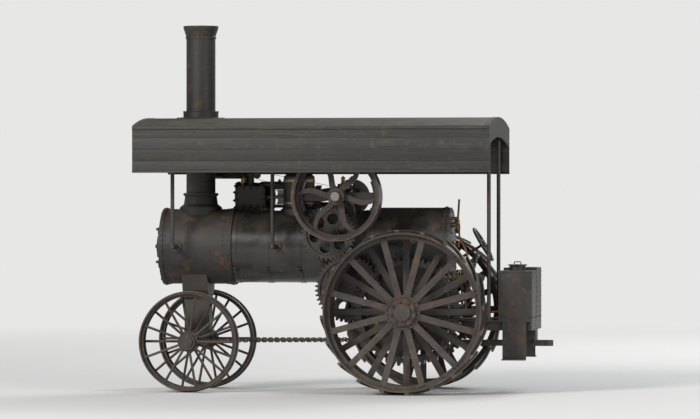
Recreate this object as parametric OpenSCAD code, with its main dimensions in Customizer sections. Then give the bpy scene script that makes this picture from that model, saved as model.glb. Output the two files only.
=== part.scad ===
// Steam traction engine with a full canopy, about 1910, lengths in millimetres.
// X runs forward, Y to the left, Z up. Its origin lies on the ground under the middle of the engine.
// Sizes along X are measured from the drive axle and moved to that origin by placed().

/* [Boiler] */
// Height of the boiler's centre line
boiler_z = 1480; // [1460:5:1500]
// Radius of the lagged barrel
barrel_r = 370; // [350:5:378]
// Length of the barrel
barrel_l = 1400; // [1300:10:1500]
// Width of the barrel bands
band_w = 50; // [30:5:70]
// Length of the firebox
firebox_l = 830; // [790:10:850]
// Distance of the backhead behind the drive axle
backhead_x = 380; // [360:5:400]
// Width of the firebox
firebox_w = 800; // [780:10:810]
// Height of the firebox's lower edge
firebox_z = 600; // [560:10:640]
// Thickness of the firebox walls with their water space
firebox_wall = 70; // [50:5:90]
// Height of the ash pan
ash_pan_h = 170; // [120:10:200]
// Radius of the smokebox
smokebox_r = 385; // [380:5:395]
// Length of the smokebox
smokebox_l = 750; // [700:10:800]
// Thickness of the smokebox plate
smokebox_t = 18; // [10:1:30]
// Radius of the smokebox door
door_r = 290; // [250:5:310]
// Radius of the flue tubes
flue_r = 26; // [20:1:30]
// Distance between flue tubes
flue_pitch = 76; // [70:1:90]

/* [Stack and dome] */
// Height of the stack's top above the ground
stack_top = 3750; // [3500:10:3900]
// Radius of the smokestack
stack_r = 150; // [120:5:165]
// Thickness of the smokestack
stack_t = 8; // [5:1:15]
// Distance of the dome ahead of the drive axle
dome_x = 1200; // [1180:10:1230]
// Radius of the steam dome
dome_r = 160; // [130:5:165]
// Height of the dome above the barrel
dome_h = 420; // [350:10:450]

/* [Engine] */
// Distance of the crankshaft ahead of the drive axle
crank_x = 700; // [690:5:720]
// Height of the crankshaft
crank_z = 1990; // [1985:5:2020]
// Radius of the crankshaft
crank_shaft_r = 45; // [35:1:50]
// Radius of the crank disc
crank_disc_r = 185; // [165:5:200]
// Throw of the crank pin
crank_throw = 130; // [110:5:140]
// Angle of the crank pin above the dead point
crank_angle = 50; // [0:5:80]
// Length of the connecting rod
rod_l = 620; // [600:5:640]
// Distance of the cylinder's line from the middle
engine_y = 420; // [415:1:430]
// Radius of the cylinder with its jacket
cyl_r = 145; // [120:5:150]
// Length of the cylinder
cyl_l = 350; // [300:10:400]
// Radius of the flywheel
flywheel_r = 450; // [400:5:460]
// Face width of the flywheel
flywheel_w = 240; // [200:5:250]
// Thickness of the flywheel's rim
flywheel_rim = 34; // [25:1:45]

/* [Gearing] */
// Module of the bull gears
bull_module = 20; // [18:0.5:20]
// Number of teeth of a bull gear
bull_teeth = 54; // [52:1:54]
// Number of teeth of a bull pinion
pinion_teeth = 12; // [12:1:13]
// Width of the bull gears
bull_w = 80; // [60:2:84]
// Module of the gears from crankshaft to countershaft
train_module = 15; // [15:0.1:15.4]
// Number of teeth of the crank pinion
crank_teeth = 16; // [16:1:18]
// Number of teeth of the intermediate gear
idler_teeth = 36; // [36:1:37]
// Number of teeth of the compensating gear
comp_teeth = 44; // [43:1:45]
// Width of those gears
train_w = 74; // [60:2:80]
// Play between meshing teeth
backlash = 4; // [3:0.5:5]
// Distance of the countershaft ahead of the drive axle
counter_x = 620; // [615:1:625]
// Radius of the countershaft
counter_r = 35; // [28:1:38]

/* [Drive wheels] */
// Radius of a drive wheel over its rim
drive_r = 800; // [780:5:810]
// Face width of a drive wheel
drive_w = 460; // [400:10:480]
// Distance between the middles of the drive wheels
drive_track = 1700; // [1680:10:1760]
// Thickness of the drive rim
drive_rim = 18; // [12:1:25]
// Height of the cleats above the rim
cleat_h = 28; // [20:1:35]
// Thickness of a cleat
cleat_t = 34; // [25:1:45]
// Angle of the cleats across the rim
cleat_skew = 32; // [20:1:38]
// Number of cleats
cleat_n = 20; // [14:1:22]
// Number of spokes in each of two rows
drive_spokes = 12; // [10:2:14]
// Radius of the drive hub
drive_hub_r = 135; // [115:5:150]
// Radius of the axle stub
axle_r = 55; // [45:1:60]

/* [Front wheels and steering] */
// Distance of the front axle ahead of the drive axle
front_x = 2250; // [2200:10:2300]
// Radius of a front wheel over its rim
front_r = 500; // [460:5:510]
// Height of the guide rib round a front wheel
rib_h = 15; // [10:1:25]
// Face width of a front wheel
front_w = 220; // [180:5:230]
// Distance between the middles of the front wheels
front_track = 1120; // [1110:5:1160]
// Number of spokes in each of two rows
front_spokes = 9; // [7:1:10]
// Thickness of the front rim
front_rim = 14; // [10:1:20]
// Radius of the front spindles
spindle_r = 32; // [25:1:38]
// Height of the axle beam
beam_h = 110; // [80:5:120]
// Distance of a chain's eye from the middle of the axle
chain_eye_y = 260; // [240:5:270]
// Distance of a chain from the middle of its drum
chain_drum_y = 110; // [100:5:130]
// Radius of the chain drum
drum_r = 55; // [45:1:60]
// Thickness of a chain link's bar
link_d = 12; // [10:0.5:14]
// Length of the opening in a chain link
link_gap = 32; // [28:1:40]

/* [Platform] */
// Length of the platform behind the backhead
deck_l = 870; // [840:10:900]
// Thickness of the foot boards on the deck
foot_t = 12; // [8:1:16]
// Height of the platform
deck_z = 740; // [720:5:780]
// Half width of the platform
deck_half = 500; // [480:5:510]
// Length of the bunker and tank
bunker_l = 340; // [300:10:360]
// Height of the bunker and tank
bunker_h = 520; // [450:10:600]
// Thickness of the bunker plates
bunker_t = 8; // [5:1:12]
// Radius of the drawbar's pin hole
draw_pin_r = 20; // [16:1:24]
// Reach of the drawbar behind the platform
draw_reach = 170; // [150:5:200]

/* [Canopy] */
// Reach of the roof ahead of the stack
roof_front = 530; // [400:10:540]
// Distance of the roof's back edge behind the drive axle
roof_back = 870; // [860:10:900]
// Width of the roof
roof_w = 2000; // [1960:10:2060]
// Height of the roof's crown
roof_z = 2800; // [2760:10:2900]
// Rise of the roof's arch
roof_rise = 100; // [60:10:160]
// Thickness of the roof
roof_t = 22; // [15:1:30]
// Depth of the side boards below the eaves
side_board_h = 470; // [300:10:500]
// Depth of the boards below the arch at both ends
end_board_h = 200; // [150:10:260]
// Thickness of the side boards
side_board_t = 18; // [12:1:25]
// Depth of the bows from the roof's lower face
bow_h = 46; // [35:1:60]
// Radius of the posts
post_r = 20; // [15:1:24]

/* [Hidden] */
$fn = 96;
seat = 0.3;
run = 0.5;
gap = 5;
cleat_tip = drive_r + cleat_h;
axle_z = cleat_tip;
front_tip = front_r + rib_h;
front_z = front_tip;
firebox_front = firebox_l - backhead_x;
firebox_half = firebox_w / 2;
smokebox_x = firebox_front + barrel_l;
smokebox_end = smokebox_x + smokebox_l;
stack_x = smokebox_x + smokebox_l / 2;
band_t = 5;
band_x = [for (i = [0:4]) firebox_front + 6 + i * (barrel_l - 12 - band_w) / 4];
deck_end = backhead_x + deck_l;
foot_half = deck_half - 115;
draw_end = deck_end + draw_reach;
draw_z = 500;
draw_h = 60;
front_end = front_x + front_tip;
mid_x = (front_end - draw_end) / 2;
barrel_top = boiler_z + barrel_r;
eave_z = roof_z - roof_rise;
roof_x0 = -roof_back;
roof_x1 = stack_x + roof_front;
roof_r = (pow(roof_w / 2, 2) + pow(roof_rise, 2)) / (2 * roof_rise);
side_y = drive_track / 2;
wheel_in = side_y - drive_w / 2;
bull_y = wheel_in - 10 - bull_w;
train_y = bull_y - 26 - train_w;
bull_r = bull_teeth * bull_module / 2;
pinion_r = pinion_teeth * bull_module / 2;
counter_z = axle_z + sqrt(pow(bull_r + pinion_r, 2) - counter_x * counter_x);
counter_turn = atan2(counter_z - axle_z, counter_x);
crank_pitch = crank_teeth * train_module / 2;
idler_pitch = idler_teeth * train_module / 2;
comp_pitch = comp_teeth * train_module / 2;
idler = meeting([crank_x, crank_z], crank_pitch + idler_pitch,
    [counter_x, counter_z], comp_pitch + idler_pitch);
comp_turn = heading([counter_x, counter_z], idler);
idler_turn = mesh_turn(comp_teeth, comp_turn, comp_turn, idler_teeth);
crank_turn = mesh_turn(idler_teeth, idler_turn, heading(idler, [crank_x, crank_z]), crank_teeth);
housing_r = counter_r + 15;
pin_x = crank_x + crank_throw * cos(crank_angle);
pin_z = crank_z + crank_throw * sin(crank_angle);
crosshead_x = pin_x + sqrt(rod_l * rod_l - pow(pin_z - crank_z, 2));
cyl_x = crank_x + rod_l + crank_throw + 110;
bearing_w = 80;
bearing_right = engine_y - 130;
bearing_left = 310;
exhaust_x = cyl_x + cyl_l - 90;
exhaust_in = 40;
exhaust_lift = 20;
valve_y = bearing_right - 70;
link_x = crank_x + 400;
reach_y = bull_y - 18;
weigh = [link_x, crank_z - 145];
reach_from = weigh + [-14, -100];
lever_foot = [-backhead_x - 60, deck_z + 40];
lever_lean = 104;
reach_to = lever_foot + polar(247, lever_lean);
hub_in = wheel_in + 20;
hub_out = side_y + drive_w / 2 - 30;
spoke_t = 16;
drive_row = drive_w / 2 - 82;
flywheel_y = train_y + train_w + 130;
drum_x = firebox_front + 150;
drum_z = firebox_z;
worm_y = 480;
worm_r = 95;
worm_screw_r = 33;
steer_to = [-650, 1500];
steer_reach = worm_r + worm_screw_r + seat;
steer_turn = heading([drum_x, drum_z], steer_to) + asin(steer_reach / norm(steer_to - [drum_x, drum_z]));
steer_from = [drum_x, drum_z] + steer_reach * [sin(steer_turn), -cos(steer_turn)];
wheel_rows = [-1, 1];

// Direction from one point to another, in degrees
function heading(a, b) = atan2(b[1] - a[1], b[0] - a[0]);

// Forward one of the two points at distance da from a and db from b
function meeting(a, da, b, db) =
    let (d = norm(b - a), u = (b - a) / d, s = (da * da - db * db + d * d) / (2 * d))
    a + s * u + sqrt(max(0, da * da - s * s)) * [-u[1], u[0]];

// Turn of gear b that lets it mesh with gear a, which has a tooth at turn_a
function mesh_turn(teeth_a, turn_a, way, teeth_b) =
    way + 180 + (way - turn_a) * teeth_a / teeth_b + 180 / teeth_b;

// Involute of a pressure angle, in degrees
function inv(a) = tan(a) * 180 / PI - a;

// Half angle of a tooth at radius r
function half_tooth(teeth, m, r) =
    let (rp = teeth * m / 2, rb = rp * cos(20))
    90 / teeth - backlash / 4 / rp * 180 / PI + inv(20) - inv(acos(min(1, rb / max(r, rb))));

// Outline of a stub-toothed gear with a tooth on the X axis
module gear_outline(teeth, m) {
    rp = teeth * m / 2;
    root = rp - m;
    tip = rp + 0.8 * m;
    low = max(rp * cos(20), root + 0.3 * m);
    radii = [root, low, (low + tip) / 2, tip];
    steps = [0, 1, 2, 3];
    polygon([for (i = [0:teeth - 1]) each concat(
        [for (k = steps) polar(radii[k], 360 * i / teeth - half_tooth(teeth, m, radii[k]))],
        [for (k = steps) polar(radii[3 - k], 360 * i / teeth + half_tooth(teeth, m, radii[3 - k]))]
    )]);
}

function polar(r, a) = [r * cos(a), r * sin(a)];

// Moves a piece from the drive axle's measure to the part's own origin
module placed() translate([-mid_x, 0, 0]) children();

// Mirrors a piece to the right side
module right_side() mirror([0, 1, 0]) children();

// Both sides of the engine
module both_sides() {
    children();
    right_side() children();
}

// Profile in X and Z, from y0 to y1
module plate_xz(y0, y1) translate([0, y1, 0]) rotate([90, 0, 0]) linear_extrude(y1 - y0) children();

// Profile in Y and Z, from x0 to x1
module plate_yz(x0, x1) translate([x0, 0, 0]) rotate([90, 0, 90]) linear_extrude(x1 - x0) children();

module rod_x(r, x0, x1) translate([x0, 0, 0]) rotate([0, 90, 0]) cylinder(r = r, h = x1 - x0);

module rod_y(r, y0, y1) translate([0, y0, 0]) rotate([-90, 0, 0]) cylinder(r = r, h = y1 - y0);

module rod_z(r, z0, z1) translate([0, 0, z0]) cylinder(r = r, h = z1 - z0);

module block(x, y, z) translate([x[0], y[0], z[0]]) cube([x[1] - x[0], y[1] - y[0], z[1] - z[0]]);

// Round bar between two points of one X-Z plane
module bar_xz(a, b, y, r) translate([a[0], y, a[1]]) rotate([0, 90 - heading(a, b), 0])
    cylinder(r = r, h = norm(b - a));

// Flat link with two round eyes in X and Z
module link_outline(a, b, ra, rb, w) {
    translate(a) circle(ra);
    translate(b) circle(rb);
    translate(a) rotate(heading(a, b)) translate([0, -w / 2]) square([norm(b - a), w]);
}

// Room of the barrel with its bands, less the seat of what stands on it
module barrel_space(extra = 0) translate([0, 0, boiler_z]) {
    rod_x(barrel_r + seat, firebox_front - extra, smokebox_x + extra, $fn = 288);
    for (x = band_x) rod_x(barrel_r + band_t + seat, x - seat, x + band_w + seat, $fn = 288);
}

module smokebox_space(r)
    translate([0, 0, boiler_z]) rod_x(r, smokebox_x - 60, smokebox_end + 60, $fn = 288);

// Boiler

module barrel() color("#25231f") placed() {
    translate([0, 0, boiler_z]) {
        rod_x(barrel_r, firebox_front, smokebox_x);
        for (x = band_x) rod_x(barrel_r + band_t, x, x + band_w);
    }
}

module firebox_outline(half, top, bottom) {
    translate([0, boiler_z]) intersection() {
        circle(half);
        translate([-half, 0]) square([2 * half, top]);
    }
    translate([-half, bottom]) square([2 * half, boiler_z - bottom]);
}

fire_hole_z = deck_z + 330;
fire_hole_r = 150;

module firebox() color("#25231f") placed() {
    difference() {
        union() {
            plate_yz(-backhead_x, firebox_front) firebox_outline(firebox_half, firebox_half, firebox_z);
            plate_yz(-backhead_x + 30, -backhead_x + 70)
                firebox_outline(firebox_half + 6, firebox_half + 6, firebox_z);
            plate_yz(firebox_front - 70, firebox_front - 30)
                firebox_outline(firebox_half + 6, firebox_half + 6, firebox_z);
        }
        block([-backhead_x + firebox_wall, firebox_front - firebox_wall],
            [-firebox_half + firebox_wall, firebox_half - firebox_wall],
            [firebox_z - 1, boiler_z + 60]);
        translate([0, 0, fire_hole_z]) rod_x(fire_hole_r, -backhead_x - 1, -backhead_x + firebox_wall + 1);
    }
}

grate_half = firebox_half - firebox_wall - seat;

module grate() color("#2b2622") placed() {
    x0 = -backhead_x + firebox_wall + seat;
    x1 = firebox_front - firebox_wall - seat;
    n = 12;
    step = (2 * grate_half - 30) / n;
    translate([0, 0, firebox_z + 10]) {
        block([x0, x0 + 30], [-grate_half, grate_half], [0, 30]);
        block([x1 - 30, x1], [-grate_half, grate_half], [0, 30]);
        for (i = [0:n]) block([x0, x1], [-grate_half + i * step, -grate_half + i * step + 30], [0, 30]);
    }
}

module ash_pan() color("#2b2622") placed() {
    half = firebox_half - 30;
    x0 = -backhead_x + 30;
    x1 = firebox_front - 30;
    wall = 10;
    difference() {
        plate_xz(-half, half) polygon([[x0, firebox_z], [x1, firebox_z],
            [x1 - 60, firebox_z - ash_pan_h], [x0 + 60, firebox_z - ash_pan_h]]);
        plate_xz(-half + wall, half - wall) polygon([[x0 + wall, firebox_z + 1],
            [x1 - wall, firebox_z + 1], [x1 - 60 - wall, firebox_z - ash_pan_h + wall],
            [x0 + 60 + wall, firebox_z - ash_pan_h + wall]]);
        block([x1 - 90, x1 + 1], [-200, 200], [firebox_z - ash_pan_h + 40, firebox_z - 40]);
    }
}

fire_hinge_y = -fire_hole_r - 45;
fire_hinge_x = -backhead_x - 26;

module fire_door() color("#2b2622") placed() {
    r = fire_hole_r + 22;
    difference() {
        union() {
            translate([0, 0, fire_hole_z]) {
                rod_x(r, -backhead_x - 16, -backhead_x - seat);
                rod_x(r - 40, -backhead_x - 24, -backhead_x - 15);
            }
            for (z = [-90, 90]) block([-backhead_x - 34, -backhead_x - 14],
                [fire_hinge_y, 60], [fire_hole_z + z - 16, fire_hole_z + z + 16]);
            for (z = [-90, 90]) translate([fire_hinge_x, fire_hinge_y, 0])
                rod_z(17, fire_hole_z + z - 16, fire_hole_z + z + 16);
            translate([0, 120, fire_hole_z]) rod_x(9, -backhead_x - 70, -backhead_x - 15);
            translate([-backhead_x - 70, 120, fire_hole_z]) sphere(17);
        }
        translate([fire_hinge_x, fire_hinge_y, 0]) rod_z(9, fire_hole_z - 110, fire_hole_z + 110);
    }
}

// Hinge posts of the fire door, gauge glass, pressure gauge, try cocks and throttle lever
module backhead_fittings() color("#8a6a3a") placed() {
    x = -backhead_x;
    translate([fire_hinge_x, fire_hinge_y, 0]) rod_z(8, fire_hole_z - 128, fire_hole_z + 128);
    for (z = [-135, 120]) block([fire_hinge_x - 12, x],
        [fire_hinge_y - 12, fire_hinge_y + 12], [fire_hole_z + z, fire_hole_z + z + 15]);
    translate([x - 40, 190, 0]) {
        rod_z(10, fire_hole_z + 210, fire_hole_z + 470);
        for (z = [230, 450]) translate([0, 0, fire_hole_z + z]) rod_x(9, 0, 40);
        for (z = [230, 450]) translate([0, 0, fire_hole_z + z]) sphere(18);
    }
    translate([0, -60, fire_hole_z + 620]) {
        rod_x(14, x - 30, x);
        rod_x(75, x - 62, x - 30);
    }
    for (k = [0:2]) translate([0, -200 + 20 * k, fire_hole_z + 250 + 90 * k]) {
        rod_x(8, x - 60, x);
        translate([x - 50, 0, 0]) rod_z(7, -30, 26);
    }
    translate([0, 60, fire_hole_z + 700]) {
        rod_x(16, x - 60, x);
        translate([x - 70, 0, 0]) rotate([30, 0, 0]) rod_z(11, -140, 220);
    }
}

// Smokebox, stack and dome

module smokebox() color("#1f1d1b") placed() difference() {
    union() {
        translate([0, 0, boiler_z]) {
            rod_x(smokebox_r, smokebox_x, smokebox_end);
            rod_x(smokebox_r + 10, smokebox_end - 40, smokebox_end);
            rod_x(smokebox_r + 8, smokebox_x, smokebox_x + 60);
        }
        for (z = [-110, 90]) block([smokebox_end - 1, smoke_hinge_x + 16],
            [smoke_hinge_y - 16, smoke_hinge_y + 16], [boiler_z + z, boiler_z + z + 20]);
    }
    translate([0, 0, boiler_z]) {
        rod_x(smokebox_r - smokebox_t, smokebox_x - 1, smokebox_end - 22);
        rod_x(door_r - 25, smokebox_end - 30, smokebox_end + 1);
    }
    translate([stack_x, 0, 0]) rod_z(stack_r - stack_t - 10, boiler_z, boiler_z + smokebox_r + 5);
    translate([smoke_hinge_x, smoke_hinge_y, boiler_z]) rod_z(8 + run, -130, 130);
}

tube_rows = floor((smokebox_r - smokebox_t - 60) / flue_pitch / 0.866);

module tube_sheet() color("#2b2622") placed() difference() {
    r = smokebox_r - smokebox_t - seat;
    translate([0, 0, boiler_z]) rod_x(r, smokebox_x, smokebox_x + 25);
    for (i = [-tube_rows:2], j = [-tube_rows:tube_rows]) {
        p = [flue_pitch * (j + (i % 2 == 0 ? 0 : 0.5)), flue_pitch * 0.866 * i];
        if (norm(p) < r - flue_r - 35)
            translate([0, p[0], boiler_z + p[1]]) rod_x(flue_r, smokebox_x + 5, smokebox_x + 26);
    }
}

smoke_hinge_x = smokebox_end + 24;
smoke_hinge_y = -door_r - 42;

module smokebox_door() color("#1f1d1b") placed() {
    door_x = smokebox_end + seat;
    difference() {
        union() {
            translate([0, 0, boiler_z]) {
                rod_x(door_r, door_x, door_x + 14);
                translate([door_x + 13, 0, 0]) rotate([0, 90, 0]) rotate_extrude() polygon([[0, 0],
                    [door_r - 18, 0], [door_r - 26, 10], [door_r * 0.7, 27], [door_r * 0.35, 36],
                    [0, 38]]);
                rod_x(18, door_x + 40, door_x + 100);
                for (a = [35, 155]) translate([door_x + 84, 0, 0]) rotate([a, 0, 0]) rod_z(9, 4, 120);
            }
            for (z = [-86, 66]) {
                block([door_x + 7, door_x + 32], [smoke_hinge_y, -60], [boiler_z + z, boiler_z + z + 20]);
                translate([smoke_hinge_x, smoke_hinge_y, boiler_z]) rod_z(17, z, z + 20);
            }
            translate([smoke_hinge_x, smoke_hinge_y, boiler_z]) rod_z(8, -135, 135);
        }
        translate([0, 0, boiler_z]) rod_x(door_r - 60, door_x - 1, door_x + 6);
    }
}

// Saddle, tube and cap of the smokestack
module smokestack() color("#1b1a19") placed() translate([stack_x, 0, 0]) {
    base_z = boiler_z + smokebox_r;
    in_r = stack_r - stack_t;
    difference() {
        rotate_extrude() polygon([[in_r, base_z - 60], [stack_r + 65, base_z - 60],
            [stack_r + 65, base_z + 20], [stack_r + 26, base_z + 50], [stack_r + 14, base_z + 130],
            [stack_r + 28, base_z + 140], [stack_r + 28, base_z + 165], [in_r, base_z + 165]]);
        translate([-stack_x, 0, 0]) smokebox_space(smokebox_r + seat);
    }
    rotate_extrude() polygon([[in_r, base_z + 164], [stack_r, base_z + 164],
        [stack_r, stack_top - 130], [stack_r + 8, stack_top - 130], [stack_r + 8, stack_top - 112],
        [stack_r + 2, stack_top - 106], [stack_r + 30, stack_top - 22], [stack_r + 30, stack_top],
        [stack_r + 18, stack_top], [in_r, stack_top - 60]]);
}

module steam_dome() color("#25231f") placed() translate([dome_x, 0, 0]) {
    top = barrel_top + dome_h;
    difference() {
        rotate_extrude() {
            difference() {
                union() {
                    translate([0, barrel_top - 150]) square([dome_r + 30, 190]);
                    translate([0, barrel_top]) square([dome_r, dome_h - 100]);
                    translate([0, top - 100]) intersection() {
                        translate([0, 100 - dome_r * 1.3]) circle(dome_r * 1.3);
                        square([dome_r, 100]);
                    }
                }
                translate([dome_r + 30, barrel_top + 40]) circle(26);
            }
        }
        translate([-dome_x, 0, 0]) barrel_space();
    }
}

// Safety valve and whistle on the dome
module safety_valve() color("#8a6a3a") placed() translate([dome_x, 0, barrel_top + dome_h + seat]) {
    rod_z(34, 0, 34);
    rod_z(24, 0, 130);
    translate([0, 0, 130]) cylinder(r1 = 24, r2 = 12, h = 26);
    translate([0, 0, 70]) rod_y(12, 0, 100);
    translate([0, 100, 0]) {
        rod_z(16, 52, 116);
        rod_z(27, 110, 122);
        difference() {
            rod_z(27, 132, 250);
            rod_z(21, 131, 236);
        }
        rod_z(8, 121, 268);
    }
}

// Engine on the boiler's right shoulder

module engine_line() translate([0, -engine_y, crank_z]) children();

module steam_cylinder() color("#2e2a26") placed() {
    saddle_z = boiler_z + 80;
    engine_line() {
        rod_x(cyl_r, cyl_x, cyl_x + cyl_l);
        for (x = [cyl_x, cyl_x + cyl_l - 26]) rod_x(cyl_r + 16, x, x + 26);
        rod_x(cyl_r - 30, cyl_x + cyl_l, cyl_x + cyl_l + 14);
        rod_x(46, cyl_x - 22, cyl_x);
        translate([exhaust_x, exhaust_in, 0]) rod_z(52, 0, cyl_r + exhaust_lift);
    }
    difference() {
        block([cyl_x + 60, cyl_x + cyl_l - 60], [-engine_y - 60, -120], [saddle_z, crank_z - cyl_r + 30]);
        barrel_space();
    }
    block([cyl_x + 30, cyl_x + cyl_l - 30], [-engine_y + cyl_r - 40, -valve_y + 60],
        [crank_z - 100, crank_z + 100]);
    block([cyl_x + 18, cyl_x + cyl_l - 18], [-valve_y + 60, -valve_y + 76],
        [crank_z - 112, crank_z + 112]);
    translate([0, -valve_y, crank_z]) rod_x(30, cyl_x, cyl_x + 31);
}

guide_z = 78;
bed_pad = 122;

// Slide bars from the cylinder's back head to a yoke on the main bearing
module engine_bed() color("#2e2a26") placed() {
    x0 = crank_x + rod_l - crank_throw - 85;
    engine_line() {
        for (z = [guide_z, -guide_z - 34]) block([x0, cyl_x - seat], [-34, 34], [z, z + 34]);
        difference() {
            block([cyl_x - 40, cyl_x - seat], [-56, 56], [-guide_z - 34, guide_z + 34]);
            rod_x(48, cyl_x - 41, cyl_x + 1);
        }
        difference() {
            block([x0 - 30, x0 + 1], [-34, engine_y - bearing_right + 40], [-guide_z - 34, guide_z + 34]);
            block([x0 - 31, x0 + 2], [-35, 36], [-guide_z, guide_z]);
        }
        block([crank_x + bed_pad + seat, x0 - 29],
            [engine_y - bearing_right - 40, engine_y - bearing_right + 40],
            [-guide_z - 34, -guide_z + 26]);
    }
}

// Connecting rod with its crank pin, crosshead and piston rod
module crosshead_and_rods() color("#6b6660") placed() {
    foot = [crosshead_x, crank_z];
    pin = [pin_x, pin_z];
    translate([0, -engine_y, 0]) {
        plate_xz(-20, 20) link_outline(pin, foot, 55, 38, 46);
        translate([pin_x, 0, pin_z]) rod_y(24, -28, 35 - gap);
        translate([crosshead_x, 0, crank_z]) rod_y(22, -40, 40);
        for (y = [[-40, -21], [21, 40]])
            block([crosshead_x - 60, crosshead_x + 90], y, [crank_z - 60, crank_z + 60]);
        block([crosshead_x + 50, crosshead_x + 90], [-40, 40], [crank_z - 60, crank_z + 60]);
        for (z = [60, -76]) block([crosshead_x - 75, crosshead_x + 100], [-32, 32],
            [crank_z + z, crank_z + z + 16]);
        translate([0, 0, crank_z]) rod_x(20, crosshead_x + 60, cyl_x - 22 - seat);
    }
}

// Eccentric with its strap and rod, curved link, valve rod and reach rod
module valve_gear() color("#6b6660") placed() {
    ecc = [crank_x + 24, crank_z + 16];
    eye = [link_x - 60, crank_z - 40];
    slot_r = 420;
    translate([0, -valve_y, 0]) {
        difference() {
            plate_xz(-19, 19) {
                translate(ecc) circle(92);
                link_outline(ecc, eye, 92, 24, 34);
            }
            translate([crank_x, 0, crank_z]) rod_y(crank_shaft_r + run, -30, 30);
        }
        plate_xz(-14, 14) difference() {
            intersection() {
                translate([link_x - 60 - slot_r, crank_z]) circle(slot_r + 28);
                translate([link_x - 120, crank_z - 120]) square([140, 240]);
            }
            translate([link_x - 60 - slot_r, crank_z]) circle(slot_r - 26);
        }
        translate([0, 0, crank_z]) rod_x(14, link_x - 40, cyl_x - seat);
        block([link_x + 120, link_x + 170], [-28, 28], [crank_z - 30, crank_z + 30]);
    }
    reach_rod();
}

// Shaft below the curved link, its bracket on the barrel, and the rod to the reverse lever
module reach_rod() {
    plate_xz(-valve_y - 26, -valve_y - 13) link_outline(weigh, [link_x - 78, crank_z - 106], 26, 18, 24);
    translate([weigh[0], 0, weigh[1]]) rod_y(14, -reach_y - 4, -valve_y - 20);
    difference() {
        plate_xz(-valve_y - 72, -valve_y - 44) {
            translate(weigh) circle(28);
            polygon([weigh - [28, 0], weigh + [28, 0],
                [link_x + 62, boiler_z + 0.55 * barrel_r], [link_x - 62, boiler_z + 0.55 * barrel_r]]);
        }
        barrel_space(1);
    }
    difference() {
        union() {
            plate_xz(-reach_y - 11, -reach_y + 11) link_outline(weigh, reach_from, 30, 22, 28);
            bar_xz(reach_from, reach_to, -reach_y, 9);
            translate([reach_to[0], -reach_y, reach_to[1]]) rod_y(26, -11, 11);
        }
        translate([reach_to[0], -reach_y, reach_to[1]]) rod_y(12 + seat, -30, 30);
    }
}

module governor() color("#3a3430") placed() translate([cyl_x + cyl_l / 2, -valve_y, crank_z + 100]) {
    rod_z(46, 0, 24);
    rod_z(30, 0, 120);
    rod_z(44, 110, 140);
    rod_z(13, 130, 350);
    translate([0, 0, 205]) rod_x(10, -60, 60);
    for (s = [-1, 1]) {
        translate([s * 92, 0, 232]) rotate([0, s * 138, 0]) sphere(34);
        translate([s * 12, 0, 315]) rotate([0, s * 138, 0]) rod_z(7, 0, 112);
    }
    rod_z(24, 300, 330);
    translate([-70, 0, 125]) {
        rod_y(20, -16, 16);
        rod_y(9, 0, 58);
        rod_y(36, 33, 55);
        rod_x(10, 0, 60);
    }
}

module steam_pipe() color("#2e2a26") placed() {
    z = barrel_top + dome_h - 150;
    end_x = cyl_x + 60;
    translate([0, -valve_y, z]) rod_x(30, dome_x, end_x);
    translate([end_x, -valve_y, z]) sphere(30);
    translate([end_x, -valve_y, 0]) rod_z(30, crank_z + 100 + seat, z);
    translate([end_x, -valve_y, 0]) rod_z(46, crank_z + 100 + seat, crank_z + 122);
    translate([dome_x, 0, z]) difference() {
        rod_y(30, -valve_y, 0);
        rod_z(dome_r + seat, -60, 60);
    }
    translate([dome_x, -valve_y, z]) sphere(30);
}

module exhaust_pipe() color("#2e2a26") placed() {
    y = -engine_y + exhaust_in;
    z = crank_z + cyl_r + 80;
    translate([exhaust_x, y, 0]) {
        rod_z(36, crank_z + cyl_r + exhaust_lift + seat, z);
        rod_z(50, crank_z + cyl_r + exhaust_lift + seat, crank_z + cyl_r + exhaust_lift + 16);
    }
    translate([exhaust_x, y, z]) sphere(36);
    translate([0, y, z]) rod_x(36, exhaust_x, stack_x - 150);
    translate([stack_x - 150, y, z]) sphere(36);
    a = [stack_x - 150, y, z];
    b = [stack_x, 0, z];
    translate(a) rotate([0, 0, atan2(b[1] - a[1], b[0] - a[0])]) difference() {
        rod_x(36, 0, norm(b - a));
        translate([norm(b - a), 0, 0]) rod_z(stack_r + seat, -60, 60);
    }
}

// Brackets of the two main bearings on the barrel's shoulders
module crank_bearings() color("#2e2a26") placed() difference() {
    union() for (y = [bearing_left, -bearing_right]) {
        plate_xz(y - bearing_w / 2, y + bearing_w / 2) {
            translate([crank_x, crank_z]) circle(84);
            polygon([[crank_x - 84, crank_z], [crank_x + 84, crank_z],
                [crank_x + 190, boiler_z + 100], [crank_x - 190, boiler_z + 100]]);
        }
        block([crank_x - 100, crank_x + 100], [y - 30, y + 30], [crank_z + 20, crank_z + 50]);
        translate([crank_x, y, 0]) rod_z(20, crank_z + 60, crank_z + 120);
        if (y < 0) block([crank_x, crank_x + bed_pad], [y - bearing_w / 2, y + bearing_w / 2],
            [crank_z - guide_z - 34, crank_z - guide_z + 26]);
    }
    barrel_space(1);
    translate([crank_x, 0, crank_z]) rod_y(crank_shaft_r + 0.5, -engine_y, engine_y);
}

module crank_line() translate([crank_x, 0, crank_z]) children();

module crankshaft() color("#6b6660") placed() crank_line() {
    disc_y = -engine_y + 35;
    rod_y(crank_shaft_r, disc_y + 1, flywheel_y + flywheel_w + 30);
    plate_xz(disc_y, disc_y + 46) {
        circle(70);
        difference() {
            circle(crank_disc_r);
            for (a = [-32, 32]) rotate(crank_angle + a) translate([crank_disc_r * 0.66, 0]) circle(26);
        }
    }
    collar_y = bearing_left - bearing_w / 2 - gap;
    rod_y(crank_shaft_r + 16, collar_y - 24, collar_y);
}

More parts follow.
